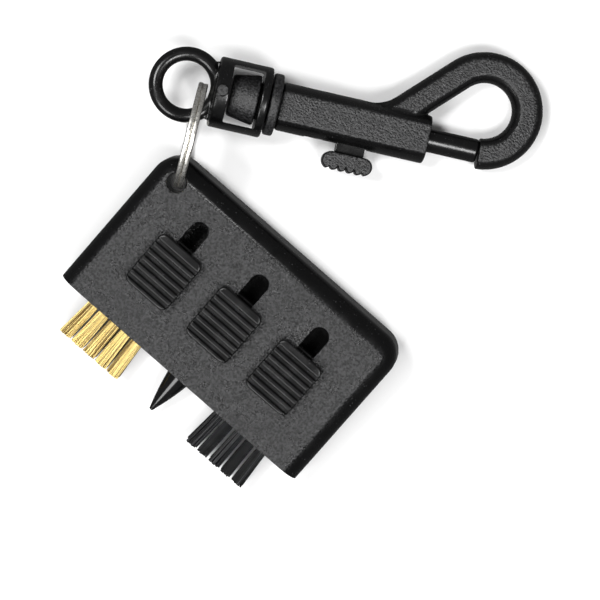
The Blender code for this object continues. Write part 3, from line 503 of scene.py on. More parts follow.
# %% Back cover
turn = np.linspace(0, np.pi / 2, 8)
cover_levels = np.column_stack([BACK_EDGE * (1 - np.sin(turn)), BACK_EDGE * (1 - np.cos(turn))])
cover_levels = np.concatenate([cover_levels, [[0, COVER]]])
case_back = mesh_object("case_back", stacked(cover_levels, 0.0), HOUSING)
hole_part = flared(lambda grow: circle(*HOLE[:2], HOLE_RADIUS + grow), -3 * COVER, 0, 0.0001 * MM)
hole_rings = [(-MM, 1.5 * MM), (0, 0.5 * MM), (0.5 * MM, 0), (2 * COVER, 0)]
hole_part = tube(np.array([np.column_stack([circle(*HOLE[:2], HOLE_RADIUS + g), np.full(48, h)]) for h, g in hole_rings]))
shaped(case_back, [mesh_object("cutter", hole_part, HOUSING)], "DIFFERENCE")
grain_mask(case_back)
shown(smooth(case_back), "housing", "housing_plastic", CASE, "back_cover")

# %% [markdown]
# ## Thumb buttons
#
# A button is a rounded pad with five ribs across it. It could be a box with grooves cut in, but then every edge
# would have to be rounded afterwards. Here its top is one height over a grid: rows across the button, closer
# together where a groove dips, and columns that follow the rounded outline. The wall is the grid's rim let down.

# %% The ribbed pad
PAD_WIDTH, PAD_LENGTH, PAD_CORNER, PAD_ROUND = 11.2 * MM, 13.0 * MM, 1.6 * MM, 0.4 * MM
PAD_BOTTOM, PAD_THICK = THICK + 0.2 * MM, 2.4 * MM
GROOVES = (np.arange(6) - 2.5) * 1.88 * MM - 0.4 * MM
GROOVE_HALF, GROOVE_DEPTH, GROOVE_ROUND = 0.36 * MM, 0.75 * MM, 0.36 * MM


def pad_rows():
    """Places along the button: dense at every groove's two shoulders and round the corners at the ends."""
    shoulder = np.linspace(-0.08, 0.40, 10) * MM
    dips = [g + side * (GROOVE_HALF + shoulder) for g in GROOVES for side in (-1, 1)]
    bend = PAD_LENGTH / 2 - PAD_CORNER * (1 - np.sin(np.linspace(0, np.pi / 2, 14)))
    edge = PAD_LENGTH / 2 - PAD_ROUND * (1 - np.cos(np.linspace(0, np.pi / 2, 7)))
    rows = np.concatenate(dips + [bend, -bend, edge, -edge, [0]])
    return np.unique(rows[np.abs(rows) <= PAD_LENGTH / 2].round(7))


def groove_dip(y):
    """How far the top lies below its flat: full depth inside a groove, and a quarter round at each shoulder."""
    away = np.abs(y[:, None] - GROOVES[None, :]).min(axis=1) - GROOVE_HALF
    rounding = GROOVE_ROUND - np.sqrt((GROOVE_ROUND**2 - (GROOVE_ROUND - away.clip(0, GROOVE_ROUND)) ** 2).clip(0))
    return np.where(away < 0, GROOVE_DEPTH, rounding)


def pad(x_centre, y_centre):
    """The button's top over its grid, its wall straight down from the rim, and a flat underside."""
    y = pad_rows()
    past = (np.abs(y) - (PAD_LENGTH / 2 - PAD_CORNER)).clip(0)
    half = PAD_WIDTH / 2 - PAD_CORNER + np.sqrt((PAD_CORNER**2 - past**2).clip(0))
    steps = PAD_ROUND * (1 - np.cos(np.linspace(0, np.pi / 2, 7)))
    insets = np.concatenate([steps, [0.8 * MM, 1.6 * MM, 3 * MM]])
    x = np.concatenate([half[:, None] - insets, np.zeros((len(y), 1))], axis=1)
    x = np.concatenate([x, -x[:, -2::-1]], axis=1)
    beyond_x = (np.abs(x) - (PAD_WIDTH / 2 - PAD_CORNER)).clip(0)
    rim = PAD_CORNER - np.hypot(beyond_x, past[:, None])
    rim = np.where((beyond_x > 0) & (past[:, None] > 0), rim, np.inf)
    rim = np.minimum(rim, np.minimum(PAD_WIDTH / 2 - np.abs(x), PAD_LENGTH / 2 - np.abs(y)[:, None]))
    rim = rim.clip(0, PAD_ROUND)
    drop = PAD_ROUND - np.sqrt(PAD_ROUND**2 - (PAD_ROUND - rim) ** 2)
    z = PAD_BOTTOM + PAD_THICK - np.maximum(drop, 0) - groove_dip(y)[:, None]
    top = np.stack([x, np.broadcast_to(y[:, None], x.shape), z], axis=-1) + [x_centre, y_centre, 0]
    around = np.concatenate([top[0, :-1], top[:-1, -1], top[-1, :0:-1], top[:0:-1, 0]])
    foot = around.copy()
    foot[:, 2] = PAD_BOTTOM
    rows, columns = top.shape[:2]
    skin = (top.reshape(-1, 3), grid_faces(rows, columns))
    wall = (np.concatenate([around, foot]), grid_faces(2, len(around), False, True))
    floor = (foot, [list(range(len(foot)))])
    return gathered([skin, wall, floor])


BUTTON_Y = 15.5 * MM
for name, x in (("brass", -BUTTON_PITCH), ("pick", 0.0), ("nylon", BUTTON_PITCH)):
    button = mesh_object(f"{name}_thumb_pad", pad(x, BUTTON_Y), HOUSING)
    shown(smooth(button, 50), f"{name}_slider", "button_plastic", BUTTON, f"{name}_button")

# %% [markdown]
# ## Sliders and the pick
#
# Under each button runs a slider: a head at the mouth that holds the tool, and a thin stem below the slot with a
# neck up to the button. Plain blocks joined and then softened with a Bevel look as moulded, because real edges
# always catch a line of light. The pick is a curve turned about its axis, fullest at its root.

# %% Slider blocks
HEAD_IN, HEAD_DEEP, STEM_HALF, STEM_THICK = 0.5 * MM, 6.0 * MM, 5.0 * MM, 2.0 * MM
SLIDER_BACK, SLIDER_FRONT = INNER_BACK, INNER_FRONT - 0.35 * MM
SLIDER_MIDDLE = (SLIDER_BACK + SLIDER_FRONT) / 2


def upright_rod(outline, low, high):
    return tube(np.array([np.column_stack([outline, np.full(len(outline), h)]) for h in (low, high)]))


def slider(name, x, head_x, head_half):
    """Head, stem and neck of one slider, joined and with softened edges."""
    end = BUTTON_Y + PAD_LENGTH / 2 + 0.1 * MM
    head = block((head_x - head_half, head_x + head_half), (HEAD_IN, HEAD_IN + HEAD_DEEP), (SLIDER_BACK, SLIDER_FRONT))
    stem = block((x - STEM_HALF, x + STEM_HALF), (HEAD_DEEP, end), (SLIDER_FRONT - STEM_THICK, SLIDER_FRONT))
    neck = long_hole(x, BUTTON_Y - 2.5 * MM, BUTTON_Y + 2.5 * MM, 1.65 * MM, 12)
    neck = upright_rod(neck, SLIDER_FRONT - STEM_THICK / 2, PAD_BOTTOM + 0.8 * MM)
    thing = mesh_object(name, head, HOUSING)
    shaped(thing, [mesh_object("part", part, HOUSING) for part in (stem, neck)], "UNION")
    bevel = thing.modifiers.new("soften", "BEVEL")
    bevel.width = 0.2 * MM
    bevel.segments = 3
    bevel.limit_method = "ANGLE"
    return applied(thing)


LEAD = 0.85 * MM  # the brushes stand a little outside their buttons
for name, side, pitch in (("brass", -1, BRASS_PITCH), ("nylon", 1, NYLON_PITCH)):
    x = side * BUTTON_PITCH
    block_half = 2 * pitch + HEAD_EDGE
    piece = slider(f"{name}_slider_block", x, x + side * LEAD, block_half)
    shown(smooth(piece), f"{name}_slider", "carrier_plastic", GLOSSY, f"{name}_carrier")


# %% The pick
def turned(profile, sides=96):
    """A profile of (along, radius) points turned about the first axis, as a skin with capped ends."""
    turn = np.arange(sides) * 2 * np.pi / sides
    along, radius = profile.T
    round_points = np.stack([np.broadcast_to(along[:, None], (len(along), sides)),
                             radius[:, None] * np.cos(turn), radius[:, None] * np.sin(turn)], axis=-1)
    return tube(round_points)


PICK_BASE, PICK_TIP, PICK_LENGTH = 2.75 * MM, 0.45 * MM, 10.0 * MM
s = np.linspace(0, 1, 40)
cone = np.column_stack([s * PICK_LENGTH, PICK_TIP + (PICK_BASE - PICK_TIP) * (1 - s**1.35)])
turn = np.linspace(0, np.pi / 2, 8)[1:]
nose = np.column_stack([PICK_LENGTH + PICK_TIP / 2 * np.sin(turn), PICK_TIP * np.cos(turn).clip(0.02)])
collar = np.array([[-1.6 * MM, PICK_BASE], [-0.02 * MM, PICK_BASE]])
spike, faces = turned(np.concatenate([collar, cone, nose]))
spike = np.column_stack([spike[:, 1], HEAD_IN - spike[:, 0], SLIDER_MIDDLE + spike[:, 2]])
pick = slider("pick_and_block", 0.0, 0.0, 4.2 * MM)
shaped(pick, [mesh_object("spike", (spike, faces), HOUSING)], "UNION")
shown(smooth(pick), "pick_slider", "carrier_plastic", GLOSSY, "pick_carrier")

# %% [markdown]
# ## Wire and nylon tufts
#
# Each tuft is a bundle of single strands. A strand could be a curve object, but a thousand of them would be slow.
# One array holds a whole tuft instead: strands by stations by points round each strand. The strands start packed
# in a sunflower pattern and lean outwards to the tip, each with a small bend of its own from a seeded random
# generator, so that every run gives the same brush.

# %% Strands of a tuft
ROW_PITCH, TUFT_REACH, TUFT_SPLAY = 2.8 * MM, 9.8 * MM, 0.09
TUFT_BASE, TUFT_TIP, TUFT_IN = 1.2 * MM, 1.5 * MM, 2.0 * MM
GOLDEN_ANGLE = np.pi * (3 - np.sqrt(5))


def tuft(rng, x, z, count, radius, sides, wander, spread):
    """Strands from inside the head to the tips: sunflower start, linear spread, and a bend that grows squared."""
    index = np.arange(count)
    angle = index * GOLDEN_ANGLE + rng.uniform(0, 6)
    out = np.sqrt((index + 0.5) / count)
    base = np.column_stack([np.cos(angle), np.sin(angle)]) * out[:, None]
    station = np.linspace(0, 1, 6)
    ends = base * (TUFT_TIP - radius) * spread + rng.normal(0, wander, (count, 2))
    limit = TUFT_TIP - radius * 0.5
    length = np.linalg.norm(ends, axis=1, keepdims=True)
    ends *= np.minimum(1, limit / length.clip(1e-9))
    lean = np.array([x, z]) * TUFT_SPLAY
    middle = base[:, None] * (TUFT_BASE - radius) * (1 - station[:, None]) + ends[:, None] * station[:, None]
    middle += (station**1.5)[:, None] * lean
    bend = rng.normal(0, wander * 0.5, (count, 1, 2)) * (station * (1 - station))[:, None] * 4
    middle += bend
    reach = TUFT_REACH - np.abs(rng.normal(0, 0.10 * MM, count)).clip(0, 0.3 * MM)
    along = TUFT_IN - station[None, :] * (TUFT_IN + reach[:, None])
    turn = np.arange(sides) * 2 * np.pi / sides
    ring = np.column_stack([np.cos(turn), np.sin(turn)]) * radius
    cross = middle[:, :, None, :] + ring
    points = np.stack([cross[..., 0] + x, np.broadcast_to(along[:, :, None], cross.shape[:3]),
                       cross[..., 1] + z], axis=-1)
    return points


def strands(points):
    """Faces of many capped tubes at once: the quads of one strand, repeated with its point count."""
    count, stations, sides = points.shape[:3]
    one = np.array(grid_faces(stations, sides, False, True))
    step = stations * sides
    quads = (one[None] + np.arange(count)[:, None, None] * step).reshape(-1, 4).tolist()
    first = np.arange(sides)[None] + np.arange(count)[:, None] * step
    caps = first[:, ::-1].tolist() + (first + (stations - 1) * sides).tolist()
    return points.reshape(-1, 3), quads + caps


def tuft_piece(name, points, place, tones_with_painted_shade):
    """A tuft as one mesh, without merging, with each strand's tone stored on its points, painted shade of the rear row
    included.
    """
    vertices, faces = strands(points)
    mesh = bpy.data.meshes.new(name)
    mesh.from_pydata(carried(vertices, place).tolist(), [], faces)
    attribute = mesh.attributes.new("strand", "FLOAT", "POINT")
    attribute.data.foreach_set("value", np.repeat(tones_with_painted_shade, points.shape[1] * points.shape[2]))
    thing = bpy.data.objects.new(name, mesh)
    bpy.context.scene.collection.objects.link(thing)
    return smooth(thing, 60)


BRUSHES = {
    "brass": (-1, BRASS_PITCH, "brass_wire", BRASS, dict(count=125, radius=0.08 * MM, sides=6, wander=0.12 * MM, spread=1.06)),
    "nylon": (1, NYLON_PITCH, "nylon_bristle", NYLON, dict(count=24, radius=0.2 * MM, sides=10, wander=0.05 * MM, spread=1.0)),
}
TONES = {"brass": (0.9, 0.5), "nylon": (0.5, 1.1)}  # shapes of the beta distributions that tones are drawn from
REAR_ROW_PAINTED_SHADE = 0.2  # painted shade: the rear row, seen in the gaps, has its wires' tones darkened to stand for the front row's shade
rng = np.random.default_rng(7)
for name, (side, pitch, slot, material, strand) in BRUSHES.items():
    columns = (np.arange(5) - 2) * pitch
    places = [(x, z) for z in (-ROW_PITCH / 2, ROW_PITCH / 2) for x in columns]
    origin = carried(np.array([side * BRUSH_OFFSET, HEAD_IN, SLIDER_MIDDLE]), HOUSING)
    brush_place = HOUSING.copy()
    brush_place[:3, 3] = origin
    for number, (x, z) in enumerate(places, start=1):
        points = tuft(rng, x, z, **strand)
        # painted shade: the rear row's wire tones are multiplied down in colour, on top of the shade the lamps give
        shade = REAR_ROW_PAINTED_SHADE if z < 0 else 1.0
        tones_with_painted_shade = rng.beta(*TONES[name], strand["count"]) * shade
        piece = tuft_piece(f"{name}_strands_{number:02d}", points, brush_place, tones_with_painted_shade)
        shown(piece, f"{name}_slider", slot, material, f"{name}_tuft_{number:02d}")
for name, node in frame["nodes"].items():
    if "anchor" in name:
        node.data.materials.clear()
        node.data.materials.append(ANCHOR)

# %% [markdown]
# ## Split ring
#
# A split ring is one flat strip of wire wound almost twice, with a short step sideways where the first turn
# becomes the second. The strip's section, a rounded rectangle, is carried along that path with its own two
# directions: outwards from the centre and along the ring's axis.

# %% The coiled strip
RING_OUTER, RING_RADIAL, COIL_WIDTH, COIL_GAP = 11.4 * MM, 1.2 * MM, 0.98 * MM, 0.1 * MM
RING_OFFSET, RING_LEAN, RING_DIRECTION = 9.860 * MM, np.radians(6.0), np.radians(116.5)


def rounded_section(sides, power):
    """A superellipse of half-widths 1: |x|^n + |y|^n = 1, which is a square with round corners for a large n."""
    turn = (np.arange(sides) + 0.5) * 2 * np.pi / sides
    c, s = np.cos(turn), np.sin(turn)
    return np.column_stack([np.sign(c) * np.abs(c) ** (2 / power), np.sign(s) * np.abs(s) ** (2 / power)])


def coil():
    """Stations every degree and a half round 690 degrees, stepping sideways between 330 and 354."""
    angle = np.radians(np.arange(0, 690.1, 1.5))
    share = ((np.degrees(angle) - 330) / 24).clip(0, 1)
    share = share * share * (3 - 2 * share)
    outward = np.column_stack([np.cos(angle), np.zeros_like(angle), np.sin(angle)])
    shift = (COIL_WIDTH + COIL_GAP) / 2 * (2 * share - 1)
    middle = outward * (RING_OUTER - RING_RADIAL / 2) + np.array([RING_OFFSET, 0, 0])
    middle[:, 1] += shift
    from_end = np.minimum(angle, angle[-1] - angle) * RING_OUTER
    taper = np.sqrt((1 - (1 - from_end / (0.5 * MM)).clip(0, 1) ** 2).clip(0.06))
    section = rounded_section(28, 3.4)
    half = np.array([RING_RADIAL / 2, COIL_WIDTH / 2])
    flat = section * half
    rings = middle[:, None] + taper[:, None, None] * (
        flat[None, :, :1] * outward[:, None] + flat[None, :, 1:] * np.array([0, 1, 0]))
    return tube(rings)


spin = np.array(Matrix.Rotation(RING_DIRECTION, 4, "Z") @ Matrix.Rotation(RING_LEAN, 4, "X"))
hole_place = HOUSING.copy()
hole_place[:3, 3] = joints["ring_swing"]["pos_m"]
RING = hole_place @ spin
ring = mesh_object("coiled_ring", coil(), RING)
shown(smooth(ring, 45), "ring", "ring_nickel", NICKEL, "split_ring")

# %% [markdown]
# ## Swivel eye and its cage
#
# The eye is a round bar bent in a circle, moulded in one with a short drum that two windows cut through. Such
# shapes have no edges between their parts, only soft fillets. So the parts are made one by one, joined, and then
# melted: remeshed on a fine grid and relaxed, which rounds every inner corner as a mould does.

# %% Eye, web and drum
EYE_RADIUS, EYE_BAR, CAGE_RADIUS = 6.5 * MM, 1.5 * MM, 7.5 * MM
GATE_PLACE, GATE_RADIUS = np.array([7.35, 0.2]) * MM, 1.15 * MM  # the small disc where the moulding was filled
CAGE_START, WINDOW_START, WINDOW_END, CAGE_END = 5.9 * MM, 8.85 * MM, 15.6 * MM, 17.3 * MM


def torus(radius, bar, around=96, sides=32):
    """A round bar bent in a circle in the x-y plane: (R + r cos v) in the plane, r sin v across it."""
    u = np.arange(around)[:, None] * 2 * np.pi / around
    v = np.arange(sides)[None, :] * 2 * np.pi / sides
    reach = radius + bar * np.cos(v)
    points = np.stack([reach * np.cos(u), reach * np.sin(u), bar * np.sin(v) + 0 * u], axis=-1)
    return points.reshape(-1, 3), grid_faces(around, sides, True, True)


def drum(start, end, radius, edge):
    """A turned drum with rounded rims."""
    turn = np.linspace(0, np.pi / 2, 6)
    first = np.column_stack([start + edge * (1 - np.sin(turn)), radius - edge * (1 - np.cos(turn))])[::-1]
    last = np.column_stack([end - edge * (1 - np.sin(turn)), radius - edge * (1 - np.cos(turn))])
    return turned(np.concatenate([first, last]))


def disc_mask(thing):
    """Grained on the small disc on the drum's end wall, and polished elsewhere."""
    points = np.empty(len(thing.data.vertices) * 3)
    thing.data.vertices.foreach_get("co", points)
    own = (points.reshape(-1, 3) - HOOK[:3, 3]) @ HOOK[:3, :3]
    away = np.hypot(*(own[:, :2] - GATE_PLACE).T)
    inside = (away < GATE_RADIUS) & (own[:, 2] > CAGE_RADIUS - 0.3 * MM)
    attribute = thing.data.attributes.new("grained", "FLOAT", "POINT")
    attribute.data.foreach_set("value", inside.astype(float))


half_web = np.radians(62)
turn = np.linspace(half_web, -half_web, 40)
web = np.column_stack([EYE_RADIUS * np.cos(turn), EYE_RADIUS * np.sin(turn)])
web = np.concatenate([web, [[7.1 * MM, -EYE_RADIUS], [7.1 * MM, EYE_RADIUS]]])
eye_parts = [drum(CAGE_START, CAGE_END, CAGE_RADIUS, 0.5 * MM), upright_rod(web, -1.05 * MM, 1.05 * MM)]
eye_parts.append(upright_rod(circle(*GATE_PLACE, GATE_RADIUS), 6.5 * MM, CAGE_RADIUS + 0.12 * MM))
eye = mesh_object("swivel_eye_moulded", torus(EYE_RADIUS, EYE_BAR), HOOK)
shaped(eye, [mesh_object("part", part, HOOK) for part in eye_parts], "UNION")
window = block((WINDOW_START, WINDOW_END), (-6.1 * MM, 6.1 * MM), (-9 * MM, 9 * MM))
bore = turned(np.array([[15 * MM, 4.3 * MM], [18 * MM, 4.3 * MM]]))
shaped(eye, [mesh_object("cutter", part, HOOK) for part in (window, bore)], "DIFFERENCE")
melted(eye, 0.14 * MM, 8)
disc_mask(eye)
shown(smooth(eye, 0), "eye", "hook_plastic", HOOK_PLASTIC, "swivel_eye")

# %% [markdown]
# ## Swivel post
#
# The post turns inside the drum: a slightly conical head in the window, a neck through the end wall, and a collar
# that closes the barrel. It is round everywhere, so its side view turned about the axis gives it all at once.

# %% A turned post


def rounded_corner(corner, before, after, steps=6):
    """A quarter turn that replaces a profile's corner, from the point before it to the point after it."""
    turn = np.linspace(0, np.pi / 2, steps)[:, None]
    return corner + (before - corner) * (1 - np.sin(turn)) + (after - corner) * (1 - np.cos(turn))


def softened(profile, radius):
    """A profile whose inner points are rounded: each corner gives way to a curve that starts radius away."""
    points = np.array(profile)
    out = [points[:1]]
    for before, corner, after in zip(points, points[1:], points[2:]):
        reach = [min(radius, np.linalg.norm(other - corner) * 0.45) for other in (before, after)]
        ends = [corner + (other - corner) / np.linalg.norm(other - corner) * r for other, r in zip((before, after), reach)]
        out.append(rounded_corner(corner, *ends))
    return np.concatenate(out + [points[-1:]])


def grained_everywhere(thing, amount=1.0):
    attribute = thing.data.attributes.new("grained", "FLOAT", "POINT")
    attribute.data.foreach_set("value", np.full(len(thing.data.vertices), amount))


post_profile = np.array([
    (9.3, 0.01), (9.3, 4.35), (15.15, 5.4), (15.15, 3.85), (17.65, 3.85), (17.65, 6.6), (19.75, 6.6),
    (19.75, 3.35), (22.65, 3.35), (22.65, 0.01),
]) * MM
post = mesh_object("swivel_post_turned", turned(softened(post_profile, 0.5 * MM)), HOOK)
grained_everywhere(post)
shown(smooth(post), "hook", "hook_plastic", HOOK_PLASTIC, "swivel_post")

# %% [markdown]
# ## Hook body
#
# The hook is one moulding: a barrel with a flat on its front and back, and a bar that leaves it at a slant and
# bends round into a hook. The bar is a section carried along a straight arm and an arc. Barrel and bar are joined,
# hollowed for the bolt, and melted together, so that the arm grows out of the barrel with a fillet. The flats are
# grained like the case and the round sides are polished.

# %% Barrel and bar
BARREL_START, BARREL_END, BARREL_RADIUS, BARREL_FLAT = 19.9 * MM, 52.1 * MM, 5.15 * MM, 4.2 * MM
LOOP_CENTRE, LOOP_RADIUS = np.array([62.6, 8.7, 0]) * MM, 9.15 * MM
BAR_WIDTH, BAR_HEIGHT, BAR_FLAT = 6.6 * MM, 5.8 * MM, 0.38
ROOT_FILLET = 8.0 * MM  # radius of the hollow between the barrel's side and the arm's outer side
ARM_ANGLE, TIP_AHEAD = np.radians(135), 0.5 * MM
CHAMBER, BEARING, SHOULDER = 3.5 * MM, 2.675 * MM, 40.15 * MM


def flat_section(flat, steps=10):
    """A unit round section with a straight top and bottom of half-width flat."""
    quarter = np.linspace(0, np.pi / 2, steps)
    side = np.column_stack([flat + (1 - flat) * np.cos(quarter), np.sin(quarter)])
    upper = np.concatenate([side, (side * [-1, 1])[::-1]])
    return np.concatenate([upper, -upper])


def loop_bar():
    """The section at stations from inside the barrel up the arm and round the arc, square to the path."""
    last = -np.pi / 2 + np.arcsin(TIP_AHEAD / LOOP_RADIUS)
    angle = np.linspace(ARM_ANGLE, last, 110)
    outward = np.column_stack([np.cos(angle), np.sin(angle), 0 * angle])
    middle = LOOP_CENTRE + outward * LOOP_RADIUS
    arm = np.array([-outward[0, 1], outward[0, 0], 0])
    reach = middle[0, 1] / abs(arm[1])
    root = middle[0] + arm * np.linspace(reach, 0, 12)[:-1, None]
    middle = np.concatenate([root, middle])
    outward = np.concatenate([np.repeat(outward[:1], len(root), axis=0), outward])
    section = flat_section(BAR_FLAT)
    across = section[:, 0] * BAR_WIDTH / 2
    up = section[:, 1] * BAR_HEIGHT / 2
    rings = middle[:, None] + outward[:, None] * across[None, :, None] + np.array([0, 0, 1]) * up[None, :, None]
    return tube(rings)


def root_fillet(thickness):
    """The hollow arc between two lines, the barrel's side and the arm's outer side, tangent to both."""
    side = BARREL_RADIUS - 0.15 * MM
    lean = np.array([np.cos(ARM_ANGLE - np.pi / 2), np.sin(ARM_ANGLE - np.pi / 2)])
    outer = LOOP_CENTRE[:2] + np.array([-lean[1], lean[0]]) * (LOOP_RADIUS + BAR_WIDTH / 2)
    corner = outer + lean * (side - outer[1]) / lean[1]
    tangent = ROOT_FILLET * np.tan((np.pi - ARM_ANGLE) / 2)
    turn = np.linspace(-np.pi / 2, -np.pi / 2 + np.pi - ARM_ANGLE, 16)
    centre = corner + [-tangent, ROOT_FILLET]
    arc = centre + ROOT_FILLET * np.column_stack([np.cos(turn), np.sin(turn)])
    inside = np.array([arc[-1] + [2 * MM, -2 * MM], corner + [2 * MM, -2 * MM], [arc[0, 0], side - 2 * MM]])
    return upright_rod(np.concatenate([arc, inside]), -thickness / 2, thickness / 2)


hook = mesh_object("hook_body_moulded", drum(BARREL_START, BARREL_END, BARREL_RADIUS, 0.5 * MM), HOOK)
beyond = 2 * BARREL_RADIUS
flats = [block((0, 0.1), (-beyond, beyond), sorted((side * BARREL_FLAT, side * beyond))) for side in (-1, 1)]
shaped(hook, [mesh_object("flat", part, HOOK) for part in flats], "DIFFERENCE")
shaped(hook, [mesh_object("bar", part, HOOK) for part in (loop_bar(), root_fillet(3.6 * MM))], "UNION")
chamber = turned(np.array([[18 * MM, CHAMBER], [SHOULDER, CHAMBER]]))
bearing = turned(np.array([[SHOULDER - MM, BEARING], [53.5 * MM, BEARING]]))
slot = block((26.55 * MM, 39.95 * MM), (-beyond, -CHAMBER / 2), (-1.2 * MM, 1.2 * MM))
shaped(hook, [mesh_object("cutter", part, HOOK) for part in (chamber, bearing, slot)], "DIFFERENCE")
melted(hook, 0.19 * MM, 8)


def own_points(thing, place):
    """A mesh's points in a frame of its own."""
    points = np.empty(len(thing.data.vertices) * 3)
    thing.data.vertices.foreach_get("co", points)
    return (points.reshape(-1, 3) - place[:3, 3]) @ place[:3, :3]


def grain_on_flats(thing, place, level, margin):
    """Grained where the surface lies at a flat's height above or below the axis."""
    height = np.abs(own_points(thing, place)[:, 2])
    attribute = thing.data.attributes.new("grained", "FLOAT", "POINT")
    attribute.data.foreach_set("value", (0.5 + (height - level(own_points(thing, place))) / margin).clip(0, 1))


def flat_level(own):
    """Height of the flats along the hook: the barrel's, and past the barrel the bar's own."""
    on_bar = (own[:, 0] > BARREL_END) | (own[:, 1] > BARREL_RADIUS)
    return np.where(on_bar, BAR_HEIGHT / 2, BARREL_FLAT) - 0.14 * MM


grain_on_flats(hook, HOOK, flat_level, 0.5 * MM)
shown(smooth(hook, 0), "hook", "hook_plastic", HOOK_PLASTIC, "hook_body")

# %% [markdown]
# ## Bolt, thumb tab and spring
#
# The bolt slides in the barrel and closes the hook. Its thumb tab sticks out through a slot in the barrel's side:
# a bar with round ends and four humps to push on. A spring inside holds the bolt shut, so it has to shorten when
# the bolt draws back.

# %% Bolt
bolt_profile = np.array([(33.0, 0.01), (33.0, 3.35), (40.0, 3.35), (40.0, 2.525), (62.95, 2.525), (62.95, 0.01)]) * MM
bolt = mesh_object("bolt_turned", turned(softened(bolt_profile, 0.6 * MM)), HOOK)
shown(smooth(bolt), "bolt", "hook_plastic", HOOK_PLASTIC, "bolt")

# %% Thumb tab
TAB_MIDDLE, TAB_HALF, TAB_NEAR, TAB_DEPTH, TAB_HIGH = 36.5 * MM, 5.4 * MM, 6.8 * MM, 3.8 * MM, 2.3 * MM
HUMPS, HUMP_DEPTH = 4, 1.1 * MM


def tab_outline():
    """A bar with round ends whose outer edge rises and falls as the absolute value of a sine."""
    end = TAB_DEPTH / 2
    half = TAB_HALF - end
    first = np.linspace(np.pi / 2, np.pi * 1.4, 16)
    left = np.column_stack([TAB_MIDDLE - half + end * np.cos(first), end * np.sin(first) - TAB_NEAR - end])
    s = np.linspace(0, 1, 81)[1:-1]
    wave = np.abs(np.sin(s * HUMPS * np.pi)) ** 0.38
    outer = np.column_stack([TAB_MIDDLE + (2 * s - 1) * half, HUMP_DEPTH * (1 - wave) - TAB_NEAR - TAB_DEPTH])
    right = left[::-1] * [-1, 1] + [2 * TAB_MIDDLE, 0]
    return np.concatenate([left, outer, right])


def inset_outline(outline, inset):
    """Each point moved inwards along the normal of its neighbours' chord."""
    chord = np.roll(outline, -1, axis=0) - np.roll(outline, 1, axis=0)
    normal = np.column_stack([-chord[:, 1], chord[:, 0]]) / np.linalg.norm(chord, axis=1, keepdims=True)
    area = np.sum(outline[:, 0] * np.roll(outline[:, 1], -1) - outline[:, 1] * np.roll(outline[:, 0], -1))
    return outline + normal * inset * np.sign(area)


def cushion(outline, half, radius):
    """The outline between -half and half, drawn in round both edges by a quarter circle."""
    turn = np.linspace(0, np.pi / 2, 6)
    inset = radius * (1 - np.sin(turn))
    height = half - radius * (1 - np.cos(turn))
    insets = np.concatenate([inset, inset[::-1]])
    heights = np.concatenate([height[::-1] * 0 - half + radius * (1 - np.cos(turn)), height[::-1]])
    rings = [np.column_stack([inset_outline(outline, i), np.full(len(outline), h)]) for i, h in zip(insets, heights)]
    return tube(np.array(rings))


tab = mesh_object("thumb_tab_moulded", cushion(tab_outline(), TAB_HIGH, 0.45 * MM), HOOK)
neck = block((TAB_MIDDLE - 3.1 * MM, TAB_MIDDLE + 3.1 * MM), (-7.9 * MM, -3.5 * MM), (-0.95 * MM, 0.95 * MM))
shank = block((TAB_MIDDLE - 2 * MM, TAB_MIDDLE + 2 * MM), (-5.15 * MM, -1.35 * MM), (-0.85 * MM, 0.85 * MM))
shaped(tab, [mesh_object("part", part, HOOK) for part in (neck, shank)], "UNION")
melted(tab, 0.1 * MM, 5)
grain_on_flats(tab, HOOK, lambda own: TAB_HIGH - 0.12 * MM, 0.12 * MM)
shown(smooth(tab, 0), "bolt", "hook_plastic", HOOK_PLASTIC, "thumb_tab")

# %% Spring
SPRING_START, SPRING_END, SPRING_RADIUS, SPRING_WIRE, SPRING_TURNS = 23.05 * MM, 32.6 * MM, 2.6 * MM, 0.25 * MM, 6.5


def helix():
    """A wire's section carried along x while its centre turns round the axis."""
    s = np.linspace(0, 1, 260)
    angle = s * SPRING_TURNS * 2 * np.pi
    outward = np.column_stack([0 * angle, np.cos(angle), np.sin(angle)])
    middle = outward * SPRING_RADIUS
    middle[:, 0] = SPRING_START + s * (SPRING_END - SPRING_START)
    section = circle(0, 0, SPRING_WIRE, 12)
    rings = middle[:, None] + outward[:, None] * section[None, :, :1] + np.array([1, 0, 0]) * section[None, :, 1:]
    return tube(rings)


spring = mesh_object("bolt_spring_coil", helix(), HOOK)
shown(smooth(spring), "hook", "spring_steel", STEEL, "bolt_spring")
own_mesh(spring)

# %% [markdown]
# ## Table, light and camera
#
# Black plastic shows almost nothing of its own: what the eye reads is the reflection of the lights. Large soft
# lamps to both sides give the long highlights on the rounded edges, and a pale table lit evenly keeps the
# background light. The camera looks straight down through a long lens, turned to the angle of the shot.

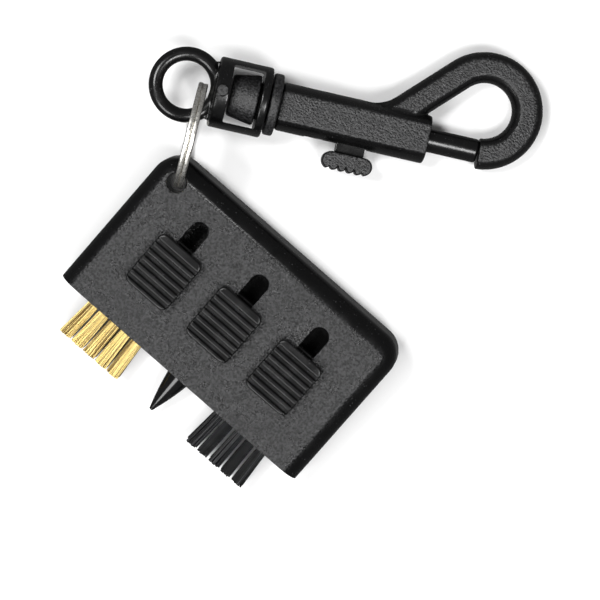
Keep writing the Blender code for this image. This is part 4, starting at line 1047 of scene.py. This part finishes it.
# %% Table
half = 3.0
table = mesh_object("table", (np.array([[-half, -half, 0], [half, -half, 0], [half, half, 0], [-half, half, 0]]), [[0, 1, 2, 3]]))
table_finish, sheet, shader = blank_material("table_white", Roughness=0.9, Specular_IOR_Level=0.1)
shader["Base Color"].default_value = (0.93, 0.93, 0.93, 1)
table.data.materials.append(table_finish)
table.visible_glossy = False  # polished edges mirror the dim room and the lamps, not the table

# %% Light
scene = bpy.context.scene
scene.world = bpy.data.worlds.new("studio")
scene.world.use_nodes = True
backdrop = scene.world.node_tree.nodes["Background"]
backdrop.inputs["Color"].default_value = (1, 1, 1, 1)
backdrop.inputs["Strength"].default_value = 0.16
scene.view_settings.view_transform = "Standard"


def lamp(name, azimuth, height, distance, size, power):
    """A square soft lamp on a sphere round the object, facing it. Azimuth and height are in degrees."""
    a, e = np.radians([azimuth, height])
    position = distance * np.array([np.cos(e) * np.cos(a), np.cos(e) * np.sin(a), np.sin(e)])
    data = bpy.data.lights.new(name, "AREA")
    data.shape = "SQUARE"
    data.size = size
    data.energy = power
    thing = bpy.data.objects.new(name, data)
    thing.location = position
    back = position / distance
    thing.rotation_euler = Matrix(np.column_stack(look_axes(back)).tolist()).to_euler()
    scene.collection.objects.link(thing)
    return thing


def look_axes(back):
    """Right, up and back directions of something that faces against back."""
    helper = np.array([0.0, 1.0, 0.0]) if abs(back[2]) > 0.9 else np.array([0.0, 0.0, 1.0])
    right = np.cross(helper, back)
    right /= np.linalg.norm(right)
    return right, np.cross(back, right), back


VIEW_TURN = np.radians(41.2)
LAMPS = {"left": (-168, 64, 0.9, 0.25, 5.0), "right": (-12, 64, 0.9, 0.25, 4.6), "front": (-90, 48, 0.9, 0.4, 4.2)}
for name, (azimuth, height, distance, size, power) in LAMPS.items():
    lamp(f"lamp_{name}", azimuth, height, distance, size, power)

# %% Camera
LENS, SENSOR, SHOWN_WIDTH = 200.0, 36.0, 125.6 * MM
camera_data = bpy.data.cameras.new("camera")
camera_data.lens = LENS
camera_data.sensor_width = SENSOR
camera = bpy.data.objects.new("camera", camera_data)
camera.location = (0.015825, -0.014698, 0.011 + SHOWN_WIDTH * LENS / SENSOR)
camera.rotation_euler = (0, 0, VIEW_TURN)
scene.collection.objects.link(camera)
scene.camera = camera
print("camera", tuple(round(c, 4) for c in camera.location))
